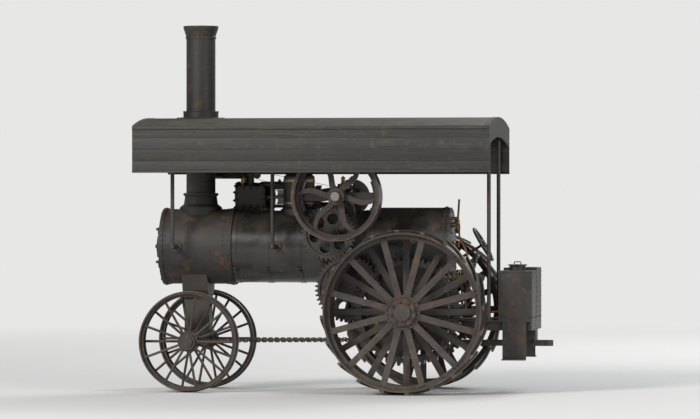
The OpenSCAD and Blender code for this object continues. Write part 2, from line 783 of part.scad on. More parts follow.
module flywheel() color("#2b2622") placed() crank_line() {
    arm_n = 6;
    in_r = flywheel_r - flywheel_rim;
    lean = 28;
    difference() {
        union() {
            difference() {
                rod_y(flywheel_r, flywheel_y, flywheel_y + flywheel_w);
                rod_y(in_r, flywheel_y - 1, flywheel_y + flywheel_w + 1);
            }
            difference() {
                rod_y(in_r + 1, flywheel_y + flywheel_w / 2 - 16, flywheel_y + flywheel_w / 2 + 16);
                rod_y(in_r - 28, flywheel_y, flywheel_y + flywheel_w);
            }
            rod_y(86, flywheel_y + flywheel_w / 2 - 90, flywheel_y + flywheel_w / 2 + 90);
            plate_xz(flywheel_y + flywheel_w / 2 - 22, flywheel_y + flywheel_w / 2 + 22)
                for (i = [0:arm_n - 1]) rotate(360 * i / arm_n)
                    polygon(concat([for (t = [0:0.2:1]) arm_point(t, in_r, lean, 30 - 8 * t)],
                        [for (t = [1:-0.2:0]) arm_point(t, in_r, lean, -30 + 8 * t)]));
        }
        rod_y(crank_shaft_r + seat, flywheel_y - 1, flywheel_y + flywheel_w + 1);
    }
}

// Point beside the middle line of a curved arm, at share t of its length
function arm_point(t, reach, lean, aside) =
    let (r = 60 + (reach - 50) * t, a = lean * sin(180 * t) * 0.5)
    polar(r, a) + aside * [-sin(a), cos(a)];

// Friction clutch with two shoes inside the flywheel's rim
module clutch() color("#3a3430") placed() crank_line() {
    y0 = train_y + train_w + 20;
    shoe_r = flywheel_r - flywheel_rim - 8;
    difference() {
        union() {
            rod_y(80, y0, flywheel_y + 25);
            plate_xz(flywheel_y - 30, flywheel_y + 4)
                translate([-shoe_r + 30, -42]) square([2 * shoe_r - 60, 84]);
            plate_xz(flywheel_y - 30, flywheel_y + 80) intersection() {
                difference() {
                    circle(shoe_r);
                    circle(shoe_r - 44);
                }
                for (s = [0, 180]) rotate(s) polygon([[0, 0], polar(2 * shoe_r, -24), polar(2 * shoe_r, 24)]);
            }
        }
        rod_y(crank_shaft_r + seat, y0 - 1, flywheel_y + 30);
    }
}

// Gearing

// Spur gear round Y with a web, hub and lightening holes
module spur_gear(teeth, m, w, bore, hub, holes, turn) {
    rp = teeth * m / 2;
    rim_in = rp - 2.6 * m;
    difference() {
        union() {
            difference() {
                plate_xz(0, w) rotate(turn) gear_outline(teeth, m);
                if (holes > 0) for (y = [[-1, w * 0.35], [w * 0.65, w + 1]]) difference() {
                    rod_y(rim_in, y[0], y[1]);
                    rod_y(hub, y[0] - 1, y[1] + 1);
                }
            }
            rod_y(hub, -6, w + 6);
        }
        rod_y(bore, -7, w + 7);
        if (holes > 0) for (i = [0:holes - 1]) rotate([0, -turn - 360 * (i + 0.5) / holes, 0])
            translate([(rim_in + hub) / 2, 0, 0]) rod_y((rim_in - hub) * 0.36, -7, w + 7);
    }
}

module crank_pinion() color("#4a443d") placed() crank_line() translate([0, train_y, 0])
    spur_gear(crank_teeth, train_module, train_w, crank_shaft_r + run, 75, 0, crank_turn);

idler_stud_r = 34;

module intermediate_gear() color("#4a443d") placed() {
    translate([idler[0], train_y, idler[1]])
        spur_gear(idler_teeth, train_module, train_w, idler_stud_r + seat, 70, 6, idler_turn);
    stud_y = bearing_left + bearing_w / 2 + seat;
    difference() {
        translate([idler[0], 0, idler[1]]) {
            rod_y(idler_stud_r, stud_y, train_y + train_w + 12);
            rod_y(48, train_y + train_w + 7, train_y + train_w + 22);
            rod_y(75, stud_y, stud_y + 20);
            rod_y(52, stud_y, train_y - 7);
        }
        barrel_space(1);
    }
}

module compensating_gear() color("#4a443d") placed() translate([counter_x, train_y, counter_z])
    spur_gear(comp_teeth, train_module, train_w, housing_r + seat, 105, 6, comp_turn);

housing_half = train_y + train_w + 9;

// Tube of the countershaft, hung under the barrel on two saddles
module countershaft_housing() color("#3a3430") placed() difference() {
    union() {
        translate([counter_x, 0, counter_z]) rod_y(housing_r, -housing_half, housing_half);
        difference() {
            for (y = [-290, 210]) plate_xz(y, y + 80) polygon([[counter_x - 60, counter_z],
                [counter_x + 60, counter_z], [counter_x + 110, boiler_z - 150],
                [counter_x - 110, boiler_z - 150]]);
            barrel_space(1);
        }
    }
    translate([counter_x, 0, counter_z]) rod_y(counter_r + run, -housing_half - 1, housing_half + 1);
}

module bull_pinion() color("#4a443d") {
    turn = mesh_turn(bull_teeth, counter_turn, counter_turn, pinion_teeth);
    translate([counter_x, 0, counter_z]) {
        translate([0, bull_y, 0])
            spur_gear(pinion_teeth, bull_module, bull_w, counter_r, 70, 0, turn);
        rod_y(counter_r, 60, bull_y + bull_w + 8);
    }
}

module bull_pinion_left() placed() bull_pinion();
module bull_pinion_right() placed() right_side() bull_pinion();

// Ring gear bolted to the inner row of spokes
module bull_gear() color("#3a3430") translate([0, 0, axle_z]) {
    ring_r = bull_r - 3.4 * bull_module;
    boss_r = bull_r - 2 * bull_module;
    difference() {
        translate([0, bull_y, 0]) plate_xz(0, bull_w) rotate(counter_turn)
            gear_outline(bull_teeth, bull_module);
        rod_y(ring_r, bull_y - 1, bull_y + bull_w + 1);
    }
    for (i = [0:2:drive_spokes - 1]) rotate([0, -360 * i / drive_spokes, 0])
        translate([boss_r, 0, 0]) rod_y(26, bull_y + bull_w - 1, side_y - drive_row - spoke_t / 2);
}

module bull_gear_left() placed() bull_gear();
module bull_gear_right() placed() right_side() bull_gear();

// Wheels

// Rim with cleats across it, two rows of spokes and a hub, round Y
module drive_wheel() color("#2b2622") translate([0, side_y, axle_z]) {
    rim_in = drive_r - drive_rim;
    difference() {
        union() {
            difference() {
                rod_y(drive_r, -drive_w / 2, drive_w / 2);
                rod_y(rim_in, -drive_w / 2 - 1, drive_w / 2 + 1);
            }
            intersection() {
                for (i = [0:cleat_n - 1]) rotate([0, -360 * (i + 0.25) / cleat_n, 0])
                    translate([drive_r + cleat_h / 2, 0, 0]) rotate([cleat_skew, 0, 0])
                        cube([cleat_h + 20, drive_w * 1.5, cleat_t], center = true);
                difference() {
                    rod_y(cleat_tip, -drive_w / 2, drive_w / 2);
                    rod_y(rim_in + 4, -drive_w / 2 - 1, drive_w / 2 + 1);
                }
            }
            for (s = wheel_rows) {
                difference() {
                    rod_y(rim_in + 1, s * drive_row - 12, s * drive_row + 12);
                    rod_y(rim_in - 44, s * drive_row - 13, s * drive_row + 13);
                }
                rod_y(drive_hub_r + 40, s * drive_row - 18, s * drive_row + 18);
                for (i = [0:drive_spokes - 1])
                    rotate([0, -360 * (i + (s > 0 ? 0.5 : 0)) / drive_spokes, 0])
                        block([drive_hub_r, rim_in - 20],
                            [s * drive_row - spoke_t / 2, s * drive_row + spoke_t / 2], [-32, 32]);
            }
            rod_y(drive_hub_r, hub_in - side_y, hub_out - side_y);
        }
        rod_y(axle_r + run, -drive_w, drive_w);
    }
}

module drive_wheel_left() placed() drive_wheel();
module drive_wheel_right() placed() right_side() drive_wheel();

// Axle stubs on brackets at both sides of the firebox
module axle_brackets() color("#3a3430") placed() both_sides() {
    plate = 36;
    y0 = firebox_half + seat;
    translate([0, 0, axle_z]) {
        rod_y(axle_r, y0, hub_out + 12);
        rod_y(axle_r + 30, hub_out + gap, hub_out + 22);
        rod_y(110, y0, y0 + plate + 20);
        rod_y(axle_r + 22, y0, hub_in - gap);
    }
    plate_xz(y0, y0 + plate) polygon([[-240, axle_z + 190], [240, axle_z + 190],
        [150, axle_z - 200], [-150, axle_z - 200]]);
    for (x = [-200, 200], z = [150]) translate([x, 0, axle_z + z]) rod_y(20, y0 + plate - 1, y0 + plate + 14);
    for (x = [-120, 120], z = [-160]) translate([x, 0, axle_z + z]) rod_y(20, y0 + plate - 1, y0 + plate + 14);
}

kingpin_r = 38;
plate_gap = front_z + beam_h / 2 + 22;

// Column under the smokebox that holds the kingpin
module pedestal() color("#2e2a26") placed() difference() {
    union() {
        plate_yz(front_x - 130, front_x + 130) polygon([[-260, boiler_z - smokebox_r + 110],
            [-210, boiler_z - smokebox_r - 60], [-90, boiler_z - smokebox_r - 160],
            [-90, plate_gap + 30], [90, plate_gap + 30], [90, boiler_z - smokebox_r - 160],
            [210, boiler_z - smokebox_r - 60], [260, boiler_z - smokebox_r + 110]]);
        translate([front_x, 0, 0]) rod_z(150, plate_gap + seat, plate_gap + 32);
    }
    smokebox_space(smokebox_r + seat);
    translate([front_x, 0, 0]) rod_z(kingpin_r + run, plate_gap - 1, plate_gap + 120);
}

module front_axle() color("#3a3430") placed() translate([front_x, 0, 0]) {
    spindle_in = front_track / 2 - front_w / 2;
    beam_half = spindle_in - 20;
    difference() {
        union() {
            plate_yz(-45, 45) polygon([[-beam_half, front_z - 42], [-180, front_z - beam_h / 2],
                [180, front_z - beam_h / 2], [beam_half, front_z - 42], [beam_half, front_z + 42],
                [180, front_z + beam_h / 2], [-180, front_z + beam_h / 2], [-beam_half, front_z + 42]]);
            rod_z(145, front_z + beam_h / 2 - 1, plate_gap);
            rod_z(kingpin_r, front_z, plate_gap + 110);
            both_sides() translate([0, 0, front_z]) {
                rod_y(spindle_r, beam_half - 10, front_track / 2 + front_w / 2 + 14);
                rod_y(58, beam_half - 1, spindle_in - gap);
                rod_y(spindle_r + 22, front_track / 2 + front_w / 2 + gap, front_track / 2 + front_w / 2 + 18);
            }
            for (s = wheel_rows) block([-chain_eye_x - 2 * chain_eye_r, -44],
                [s * chain_eye_y - 0.58 * link_d, s * chain_eye_y + 0.58 * link_d],
                [front_z - 26, front_z + 26]);
        }
        for (s = wheel_rows) translate([-chain_eye_x, s * chain_eye_y, front_z])
            rod_y(chain_eye_r, -link_d, link_d);
    }
}

module front_wheel() color("#2b2622") translate([front_x, front_track / 2, front_z]) {
    row = front_w / 2 - 45;
    rim_in = front_r - front_rim;
    difference() {
        union() {
            difference() {
                union() {
                    rod_y(front_r, -front_w / 2, front_w / 2);
                    rod_y(front_tip, -14, 14);
                }
                rod_y(rim_in, -front_w / 2 - 1, front_w / 2 + 1);
            }
            rod_y(82, -front_w / 2, front_w / 2);
            for (s = wheel_rows) {
                difference() {
                    rod_y(rim_in + 1, s * row - 9, s * row + 9);
                    rod_y(rim_in - 26, s * row - 10, s * row + 10);
                }
                rod_y(102, s * row - 14, s * row + 14);
                for (i = [0:front_spokes - 1])
                    rotate([0, -360 * (i + (s > 0 ? 0.5 : 0)) / front_spokes, 0])
                        translate([0, s * row, 0]) rod_x(13, 70, rim_in + 1);
            }
        }
        rod_y(spindle_r + run, -front_w, front_w);
    }
}

module front_wheel_left() placed() front_wheel();
module front_wheel_right() placed() right_side() front_wheel();

// Steering

// Chain drum on two brackets ahead of the firebox, with its worm wheel
module steering_drum() color("#3a3430") placed() {
    translate([drum_x, 0, drum_z]) {
        rod_y(22, -worm_y - 30, 250);
        rod_y(drum_r, -190, 190);
        for (y = [-196, -6, 184]) rod_y(drum_r + 22, y, y + 12);
        difference() {
            rod_y(worm_r, -worm_y - 22, -worm_y + 22);
            for (i = [0:23]) rotate([0, 15 * i, 0]) translate([worm_r + 2, 0, 0])
                rotate([0, 45, 0]) cube([12, 60 + 2 * worm_y, 12], center = true);
        }
    }
    for (y = [-245, 220]) {
        plate_xz(y, y + 25) {
            translate([drum_x, drum_z]) circle(48);
            polygon([[firebox_front + seat, drum_z + 20], [drum_x, drum_z - 46],
                [drum_x + 46, drum_z + 20], [firebox_front + seat, drum_z + 190]]);
        }
    }
}

// Worm, inclined shaft with two bearings, and hand wheel
module steering_shaft() color("#3a3430") placed() {
    way = steer_to - steer_from;
    length = norm(way);
    wheel_r = 200;
    translate([steer_from[0], -worm_y, steer_from[1]]) rotate([0, 90 - steer_turn, 0]) {
        rod_z(14, -40, length + 20);
        rod_z(28, -40, 50);
        for (z = [-30:16:40]) rod_z(worm_screw_r, z, z + 8);
        translate([0, 0, length]) {
            rotate_extrude() translate([wheel_r - 14, 0]) circle(14, $fn = 32);
            rod_z(34, -18, 18);
            for (i = [0:4]) rotate([0, 0, 72 * i]) rod_x(9, 20, wheel_r - 14);
        }
    }
    for (x = [firebox_front - 150, -backhead_x + 110]) {
        z = steer_from[1] + (x - steer_from[0]) * tan(steer_turn);
        difference() {
            union() {
                block([x - 26, x + 26], [-worm_y, -firebox_half - seat], [z - 22, z + 22]);
                translate([x, -worm_y, z]) rotate([0, 90 - steer_turn, 0]) rod_z(34, -26, 26);
            }
            translate([x, -worm_y, z]) rotate([0, 90 - steer_turn, 0]) rod_z(14 + seat, -80, 80);
        }
    }
}

// Share of its bar by which a link's opening is longer than the links' pitch
link_play = 0.45;
chain_eye_x = 78;
chain_eye_r = 0.92 * link_d;
chain_from = [front_x - chain_eye_x - 0.69 * link_d + 4 * seat, chain_eye_y, front_z];
chain_to = [drum_x, chain_drum_y, drum_z - drum_r - 1.7 * link_d - seat];

// One steering chain from the axle's eye to the drum, links turned about in pairs
module steering_chain() color("#3a3430") {
    way = chain_to - chain_from;
    n = 2 * floor(norm(way) / link_gap / 2);
    step = norm(way) / n;
    flat = norm([way[0], way[1]]);
    translate(chain_from) rotate([0, -atan2(way[2], flat), atan2(way[1], way[0])])
        for (i = [0:n - 1]) translate([(i + 0.5) * step, 0, 0]) rotate([i % 2 == 0 ? 0 : 90, 0, 0])
            chain_link(step + link_play * link_d);
}

module chain_link(gap_l) linear_extrude(link_d, center = true) difference() {
    stadium(gap_l + 2 * link_d, link_d * 3.4);
    stadium(gap_l, link_d * 1.4);
}

module stadium(length, width) {
    square([length - width, width], center = true);
    for (s = [-1, 1]) translate([s * (length - width) / 2, 0]) circle(width / 2, $fn = 24);
}

module steering_chain_left() placed() steering_chain();
module steering_chain_right() placed() right_side() steering_chain();

// Platform

module platform() color("#2e2a26") placed() {
    plate = 12;
    difference() {
        block([-deck_end, -backhead_x - seat], [-deck_half, deck_half], [deck_z - plate, deck_z]);
        block([-backhead_x - 60, -backhead_x + 1], [-200, 200], [deck_z - plate - 1, deck_z + 1]);
    }
    block([bunker_x1 + 12, -backhead_x - 66], [-foot_half, foot_half], [deck_z - 1, deck_z + foot_t]);
    for (y = [-deck_half + 40, deck_half - 110]) block([-deck_end, -backhead_x - seat],
        [y, y + 70], [deck_z - plate - 90, deck_z - plate]);
    block([-deck_end, -deck_end + 16], [-deck_half, deck_half], [deck_z - plate - 90, deck_z - plate]);
    both_sides() {
        block([-deck_end + 60, -deck_end + 300], [deck_half - 12, deck_half],
            [deck_z - 400, deck_z - plate]);
        block([-deck_end + 60, -deck_end + 300], [deck_half, deck_half + 110],
            [deck_z - 400, deck_z - 388]);
    }
}

module drawbar() color("#3a3430") placed() difference() {
    union() {
        block([-draw_end + 60, -backhead_x - seat], [-55, 55], [draw_z - draw_h / 2, draw_z + draw_h / 2]);
        translate([-draw_end + 60, 0, 0]) rod_z(60, draw_z - draw_h / 2, draw_z + draw_h / 2);
        block([-deck_end, -deck_end + 16], [-120, 120], [draw_z, deck_z - 102 - seat]);
        block([-backhead_x - 16, -backhead_x - seat], [-160, 160], [draw_z - 30, deck_z - 102 - seat]);
    }
    translate([-draw_end + 60, 0, 0]) rod_z(draw_pin_r, draw_z - draw_h, draw_z + draw_h);
}

bunker_x1 = -deck_end + bunker_l;

module coal_bunker() color("#2b2622") placed() difference() {
    block([-deck_end, bunker_x1], [-deck_half, -10], [deck_z, deck_z + bunker_h]);
    block([-deck_end + bunker_t, bunker_x1 - bunker_t], [-deck_half + bunker_t, -10 - bunker_t],
        [deck_z + bunker_t, deck_z + bunker_h + 1]);
    plate_xz(-deck_half + 60, -70) polygon([[bunker_x1 - 60, deck_z + bunker_h + 1],
        [bunker_x1 + 10, deck_z + bunker_h + 1], [bunker_x1 + 10, deck_z + bunker_h - 190],
        [bunker_x1 - 60, deck_z + bunker_h - 190]]);
}

module water_tank() color("#2b2622") placed() {
    block([-deck_end, bunker_x1], [10, deck_half], [deck_z, deck_z + bunker_h - 30]);
    block([-deck_end - 8, bunker_x1 + 8], [6, deck_half + 8],
        [deck_z + bunker_h - 36, deck_z + bunker_h - 20]);
    translate([-deck_end + bunker_l / 2, deck_half / 2, 0]) {
        rod_z(80, deck_z + bunker_h - 21, deck_z + bunker_h + 30);
        rod_z(92, deck_z + bunker_h + 29, deck_z + bunker_h + 44);
    }
}

// Reverse lever on its toothed quadrant
module reverse_lever() color("#6b6660") placed() {
    arc_r = 430;
    pin = reach_to - lever_foot;
    lever_y = deck_half - 60;
    translate([lever_foot[0], -lever_y, lever_foot[1]]) {
        plate_xz(-6, 6) rotate(lever_lean) translate([0, -14]) square([600, 28]);
        rotate([0, 90 - lever_lean, 0]) rod_z(15, 560, 660);
        translate([pin[0], 0, pin[1]]) rod_y(12, lever_y - reach_y - 12, 2);
        plate_xz(8, 18) intersection() {
            difference() {
                circle(arc_r + 24);
                circle(arc_r - 20);
            }
            polygon([[0, 0], polar(900, 88), polar(900, 122)]);
        }
        for (a = [89, 121]) plate_xz(8, 18) rotate(a) translate([0, -12]) square([arc_r, 24]);
        rod_y(24, -8, 18);
        block([-70, 70], [8, 18], [-40, 10]);
    }
}

// Canopy

module roof_arc(drop) intersection() {
    translate([0, roof_z - drop - roof_r]) circle(roof_r, $fn = 480);
    translate([-roof_w / 2, eave_z - side_board_h]) square([roof_w, roof_rise + side_board_h]);
}

// Arched roof with boards hanging from its eaves and ends
module canopy_roof() color("#2a251f") placed() difference() {
    union() {
        plate_yz(roof_x0, roof_x1) difference() {
            roof_arc(0);
            translate([0, roof_z - roof_r]) circle(roof_r - roof_t, $fn = 480);
            translate([-roof_w / 2, 0]) square([roof_w, eave_z - roof_t]);
        }
        both_sides() block([roof_x0, roof_x1], [roof_w / 2 - side_board_t, roof_w / 2],
            [eave_z - side_board_h, eave_z]);
        for (x = [roof_x0, roof_x1 - side_board_t]) plate_yz(x, x + side_board_t) difference() {
            roof_arc(0);
            translate([0, roof_z - roof_r - end_board_h]) circle(roof_r, $fn = 480);
        }
    }
    translate([stack_x, 0, 0]) rod_z(stack_r + 40, eave_z, roof_z + 10);
}

post_y = 620;
rear_post_y = deck_half - 30;
post_x = [roof_x0 + 60, (smokebox_x + crank_x + flywheel_r) / 2 - 120, smokebox_end - 190];

// Bows and rails under the roof
module canopy_frame() color("#2a251f") placed() {
    for (x = post_x) plate_yz(x - 24, x + 24) intersection() {
        difference() {
            translate([0, roof_z - roof_r]) circle(roof_r - roof_t - seat, $fn = 480);
            translate([0, roof_z - roof_r]) circle(roof_r - roof_t - bow_h, $fn = 480);
        }
        translate([-roof_w / 2 + side_board_t + seat, eave_z - 100])
            square([roof_w - 2 * side_board_t - 2 * seat, 500]);
    }
    both_sides() block([roof_x0 + side_board_t + seat, roof_x1 - side_board_t - seat],
        [roof_w / 2 - side_board_t - 50, roof_w / 2 - side_board_t - seat],
        [eave_z - roof_t - 70, eave_z - roof_t - 10]);
}

// Height of a bow's lower edge at a distance from the middle
function bow_under(y) = roof_z - roof_r + sqrt(pow(roof_r - roof_t - bow_h, 2) - y * y);

module post(x, y, z0) translate([x, y, 0]) {
    rod_z(post_r, z0, bow_under(y + post_r) - seat);
    rod_z(post_r + 16, bow_under(y + post_r + 16) - 14, bow_under(y + post_r + 16) - seat);
}

// Posts with the arms that carry them on barrel and smokebox
module canopy_posts() color("#2a251f") placed() both_sides() {
    post(post_x[0], rear_post_y, deck_z + seat);
    for (i = [1, 2]) {
        x = post_x[i];
        post(x, post_y, boiler_z - 30);
        difference() {
            union() {
                translate([x, 0, boiler_z]) rod_y(24, 300, post_y);
                translate([x, post_y, boiler_z]) sphere(30);
                translate([x, 0, boiler_z]) rod_y(52, 300, (i == 1 ? barrel_r : smokebox_r) + 22);
            }
            barrel_space(1);
            smokebox_space(smokebox_r + seat);
        }
    }
}

barrel();
firebox();
grate();
ash_pan();
fire_door();
backhead_fittings();
smokebox();
tube_sheet();
smokebox_door();
smokestack();
steam_dome();
safety_valve();
steam_cylinder();
engine_bed();
crosshead_and_rods();
valve_gear();
governor();
steam_pipe();
exhaust_pipe();
crank_bearings();
crankshaft();
flywheel();
clutch();
crank_pinion();
intermediate_gear();
compensating_gear();
countershaft_housing();
bull_pinion_left();
bull_pinion_right();
bull_gear_left();
bull_gear_right();
drive_wheel_left();
drive_wheel_right();
axle_brackets();
pedestal();
front_axle();
front_wheel_left();
front_wheel_right();
steering_drum();
steering_shaft();
steering_chain_left();
steering_chain_right();
platform();
drawbar();
coal_bunker();
water_tank();
reverse_lever();
canopy_roof();
canopy_frame();
canopy_posts();
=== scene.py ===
"""Steam traction engine: finishes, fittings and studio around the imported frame.

All sizes are in metres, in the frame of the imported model: +X is ahead, +Y is the engine's left.
"""

import logging
import math
from contextlib import contextmanager
from dataclasses import dataclass, replace
from enum import Enum
from typing import Iterator, Sequence

import bpy
import numpy as np
from mathutils import Euler, Matrix, Vector


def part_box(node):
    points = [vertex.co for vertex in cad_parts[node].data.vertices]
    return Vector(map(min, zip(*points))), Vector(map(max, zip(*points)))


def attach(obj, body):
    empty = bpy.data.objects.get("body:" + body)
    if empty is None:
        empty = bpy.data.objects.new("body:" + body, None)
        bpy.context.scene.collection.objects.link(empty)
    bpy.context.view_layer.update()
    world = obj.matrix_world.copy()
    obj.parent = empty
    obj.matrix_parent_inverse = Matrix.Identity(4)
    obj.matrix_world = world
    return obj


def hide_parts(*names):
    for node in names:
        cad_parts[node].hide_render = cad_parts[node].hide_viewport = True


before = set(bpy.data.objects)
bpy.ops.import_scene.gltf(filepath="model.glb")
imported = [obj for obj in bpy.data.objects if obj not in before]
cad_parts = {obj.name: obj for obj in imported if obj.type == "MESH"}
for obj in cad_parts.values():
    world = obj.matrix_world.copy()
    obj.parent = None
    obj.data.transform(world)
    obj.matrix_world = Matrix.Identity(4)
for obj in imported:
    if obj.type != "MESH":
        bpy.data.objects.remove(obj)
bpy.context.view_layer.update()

logging.basicConfig(level=logging.INFO, format="%(message)s")
LOG = logging.getLogger("engine")

Obj = bpy.types.Object
Socket = bpy.types.NodeSocket
Outputs = bpy.types.bpy_prop_collection
Point = Sequence[float]
Colour = tuple[float, float, float]
AHEAD, LEFT, UP = Vector((1, 0, 0)), Vector((0, 1, 0)), Vector((0, 0, 1))
SIDES = (1, -1)


class Slot(Enum):
    """Material slots of the record."""

    BOILER = "boiler_paint"
    STACK = "stack_soot"
    WHEEL = "wheel_paint"
    IRON = "cast_iron"
    STEEL = "bright_steel"
    BRASS = "brass"
    PLATE = "plate_paint"
    WOOD = "canopy_wood"


class Body(Enum):
    """Bodies that new pieces ride on."""

    CHASSIS = "chassis"
    CRANK = "crankshaft"
    DRIVE_LEFT = "drive_wheel_left"
    DRIVE_RIGHT = "drive_wheel_right"
    FRONT_LEFT = "front_wheel_left"
    FRONT_RIGHT = "front_wheel_right"
    SMOKEBOX_DOOR = "smokebox_door"


def corners(node: str) -> tuple[Vector, Vector]:
    """Lowest and highest corner of a CAD node."""
    start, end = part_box(node)
    return Vector(start), Vector(end)


def low(node: str) -> Vector:
    """Lowest corner of a CAD node."""
    return corners(node)[0]


def high(node: str) -> Vector:
    """Highest corner of a CAD node."""
    return corners(node)[1]


def middle(node: str) -> Vector:
    """Middle of a CAD node's box."""
    return (low(node) + high(node)) / 2


AXLE_X = middle("drive_wheel_left").x
BOILER_Z = middle("barrel").z
CRANK = middle("flywheel")


# Node trees


class Graph:
    """Adds nodes to one tree and links them by plain calls."""

    def __init__(self, tree: bpy.types.NodeTree) -> None:
        """Keeps the tree and empties it."""
        self.tree = tree
        tree.nodes.clear()

    def put(self, socket: Socket, value: object) -> None:
        """Links a socket to an input, or sets the input's own value.

        Args:
            socket: The input that is fed.
            value: A socket, a number or a colour.
        """
        if isinstance(value, Socket):
            self.tree.links.new(value, socket)
        elif socket.type == "RGBA":
            socket.default_value = (*value, 1.0)
        else:
            socket.default_value = value

    def add(self, kind: str, feeds: dict | None = None, **settings: object) -> bpy.types.Node:
        """Adds a shader node.

        Args:
            kind: Type of the node, without the words ShaderNode.
            feeds: Values or sockets by input name or number.
            settings: Properties of the node.

        Returns:
            The new node.
        """
        node = self.tree.nodes.new("ShaderNode" + kind)
        for name, value in settings.items():
            setattr(node, name, value)
        for name, value in (feeds or {}).items():
            self.put(node.inputs[name], value)
        return node

    def group(self, shared: type, feeds: dict | None = None) -> Outputs:
        """Places a shared group and returns its outputs."""
        return self.add("Group", feeds, node_tree=shared.tree()).outputs

    def calc(self, operation: str, a: object, b: object = 0.0, clamp: bool = False) -> Socket:
        """Result of a Math node."""
        return self.add("Math", {0: a, 1: b}, operation=operation, use_clamp=clamp).outputs[0]

    def times(self, a: object, b: object) -> Socket:
        """Product of two values."""
        return self.calc("MULTIPLY", a, b)

    def plus(self, a: object, b: object, clamp: bool = False) -> Socket:
        """Sum of two values."""
        return self.calc("ADD", a, b, clamp)

    def minus(self, a: object, b: object, clamp: bool = False) -> Socket:
        """Difference of two values."""
        return self.calc("SUBTRACT", a, b, clamp)

    def most(self, a: object, b: object) -> Socket:
        """Larger of two values."""
        return self.calc("MAXIMUM", a, b)

    def mix(self, under: object, over: object, mask: object, share: float = 1.0) -> Socket:
        """Covers one colour with another.

        Args:
            under: Colour where the mask is 0.
            over: Colour where the mask is 1.
            mask: Mask or number.
            share: Most that the upper colour may cover.

        Returns:
            The colour.
        """
        mask = mask if share == 1.0 else self.times(mask, share)
        return self.add("Mix", {0: mask, 6: under, 7: over}, data_type="RGBA", clamp_factor=True).outputs[2]

    def span(self, value: object, start: float, end: float, to_start: float = 0.0,
             to_end: float = 1.0) -> Socket:
        """Maps a value smoothly from start..end to another range."""
        feeds = {"Value": value, "From Min": start, "From Max": end, "To Min": to_start, "To Max": to_end}
        return self.add("MapRange", feeds, interpolation_type="SMOOTHSTEP", clamp=True).outputs["Result"]

    def noise(self, place: object, scale: object, detail: float = 4.0, rough: float = 0.55) -> Socket:
        """Value of a Noise Texture."""
        feeds = {"Vector": place, "Scale": scale, "Detail": detail, "Roughness": rough}
        return self.add("TexNoise", feeds).outputs["Fac"]

    def stretched(self, place: object, scale: Point) -> Socket:
        """Stretched coordinates."""
        return self.add("Mapping", {"Vector": place, "Scale": scale}).outputs[0]

    def here(self) -> Socket:
        """Object coordinates."""
        return self.add("TexCoord").outputs["Object"]

    def parts(self, vector: object) -> Outputs:
        """X, Y and Z of a vector."""
        return self.add("SeparateXYZ", {0: vector}).outputs

    def vector(self, *parts: object) -> Socket:
        """Vector from its parts."""
        return self.add("CombineXYZ", dict(enumerate(parts))).outputs[0]

    def length(self, vector: object) -> Socket:
        """Length of a vector."""
        return self.add("VectorMath", {0: vector}, operation="LENGTH").outputs["Value"]

    def bump(self, height: object, strength: float, depth: float) -> Socket:
        """Normal of a Bump node."""
        return self.add("Bump", {"Strength": strength, "Distance": depth, "Height": height}).outputs[0]


class Shared:
    """Shader group that is built once and placed in each material with its own values."""

    name = ""
    inputs: dict[str, float | Point] = {}
    outputs: tuple[str, ...] = ()

    @classmethod
    def effect(cls, g: Graph, given: Outputs) -> tuple[Socket, ...]:
        """Values of the outputs, in their order."""
        raise NotImplementedError

    @classmethod
    def tree(cls) -> bpy.types.NodeTree:
        """Builds the group once.

        Returns:
            The node tree.
        """
        tree = bpy.data.node_groups.get(cls.name)
        if tree:
            return tree
        tree = bpy.data.node_groups.new(cls.name, "ShaderNodeTree")
        for key, value in cls.inputs.items():
            kind = "NodeSocketFloat" if isinstance(value, float) else "NodeSocketVector"
            tree.interface.new_socket(key, in_out="INPUT", socket_type=kind).default_value = value
        for key in cls.outputs:
            tree.interface.new_socket(key, in_out="OUTPUT", socket_type="NodeSocketFloat")
        g = Graph(tree)
        results = cls.effect(g, tree.nodes.new("NodeGroupInput").outputs)
        out = tree.nodes.new("NodeGroupOutput")
        for key, result in zip(cls.outputs, results):
            g.put(out.inputs[key], result)
        return tree


class Weathering(Shared):
    """Where metal is worn, rusty, dusty, splashed and streaked, and where its hollows take painted shade.
    """

    name = "weathering"
    inputs = {"Spot Size": 7.0, "Grain Size": 260.0}
    outputs = ("Edge", "Shaded Hollows", "Dust", "Splash", "Streaks", "Spots", "Mottle", "Grain")
    edge_radius = 0.006
    shade_reach = 0.07

    @classmethod
    def effect(cls, g: Graph, given: Outputs) -> tuple[Socket, ...]:
        """Masks from edges, shaded hollows, slope, height and noise; the hollows' mask is ambient
        occlusion, which marks where shade falls.

        Args:
            g: The group's graph.
            given: Sizes of the rust spots and of the grain.

        Returns:
            The masks.
        """
        place, facing = g.here(), g.add("NewGeometry").outputs["Normal"]
        rounded = g.add("Bevel", {"Radius": cls.edge_radius}, samples=4).outputs[0]
        bend = g.add("VectorMath", {0: rounded, 1: facing}, operation="DOT_PRODUCT").outputs["Value"]
        ragged = g.span(g.noise(place, 34.0, 5.0, 0.7), 0.36, 0.62)
        # Ambient occlusion: the shade that falls in hollows, which the finishes paint into colour.
        occluded_shade = g.add("AmbientOcclusion", {"Distance": cls.shade_reach}, samples=5).outputs["AO"]
        cloud = g.span(g.noise(place, 5.5, 6.0, 0.62), 0.25, 0.7)
        mud = g.span(g.noise(place, 11.0, 6.0, 0.7), 0.28, 0.72)
        return (g.times(g.span(g.minus(1.0, bend), 0.02, 0.22), ragged),
                g.span(occluded_shade, 0.9, 0.35),
                g.times(g.span(g.parts(facing)["Z"], 0.25, 0.95), cloud),
                g.times(g.span(g.parts(place)["Z"], 1.25, 0.0), mud),
                g.span(g.noise(g.stretched(place, (26.0, 26.0, 1.6)), 1.0), 0.5, 0.78),
                g.span(g.noise(place, given["Spot Size"], 9.0, 0.72), 0.53, 0.66),
                g.span(g.noise(place, 2.6, 7.0, 0.6), 0.3, 0.7),
                g.noise(place, given["Grain Size"], 3.0, 0.6))


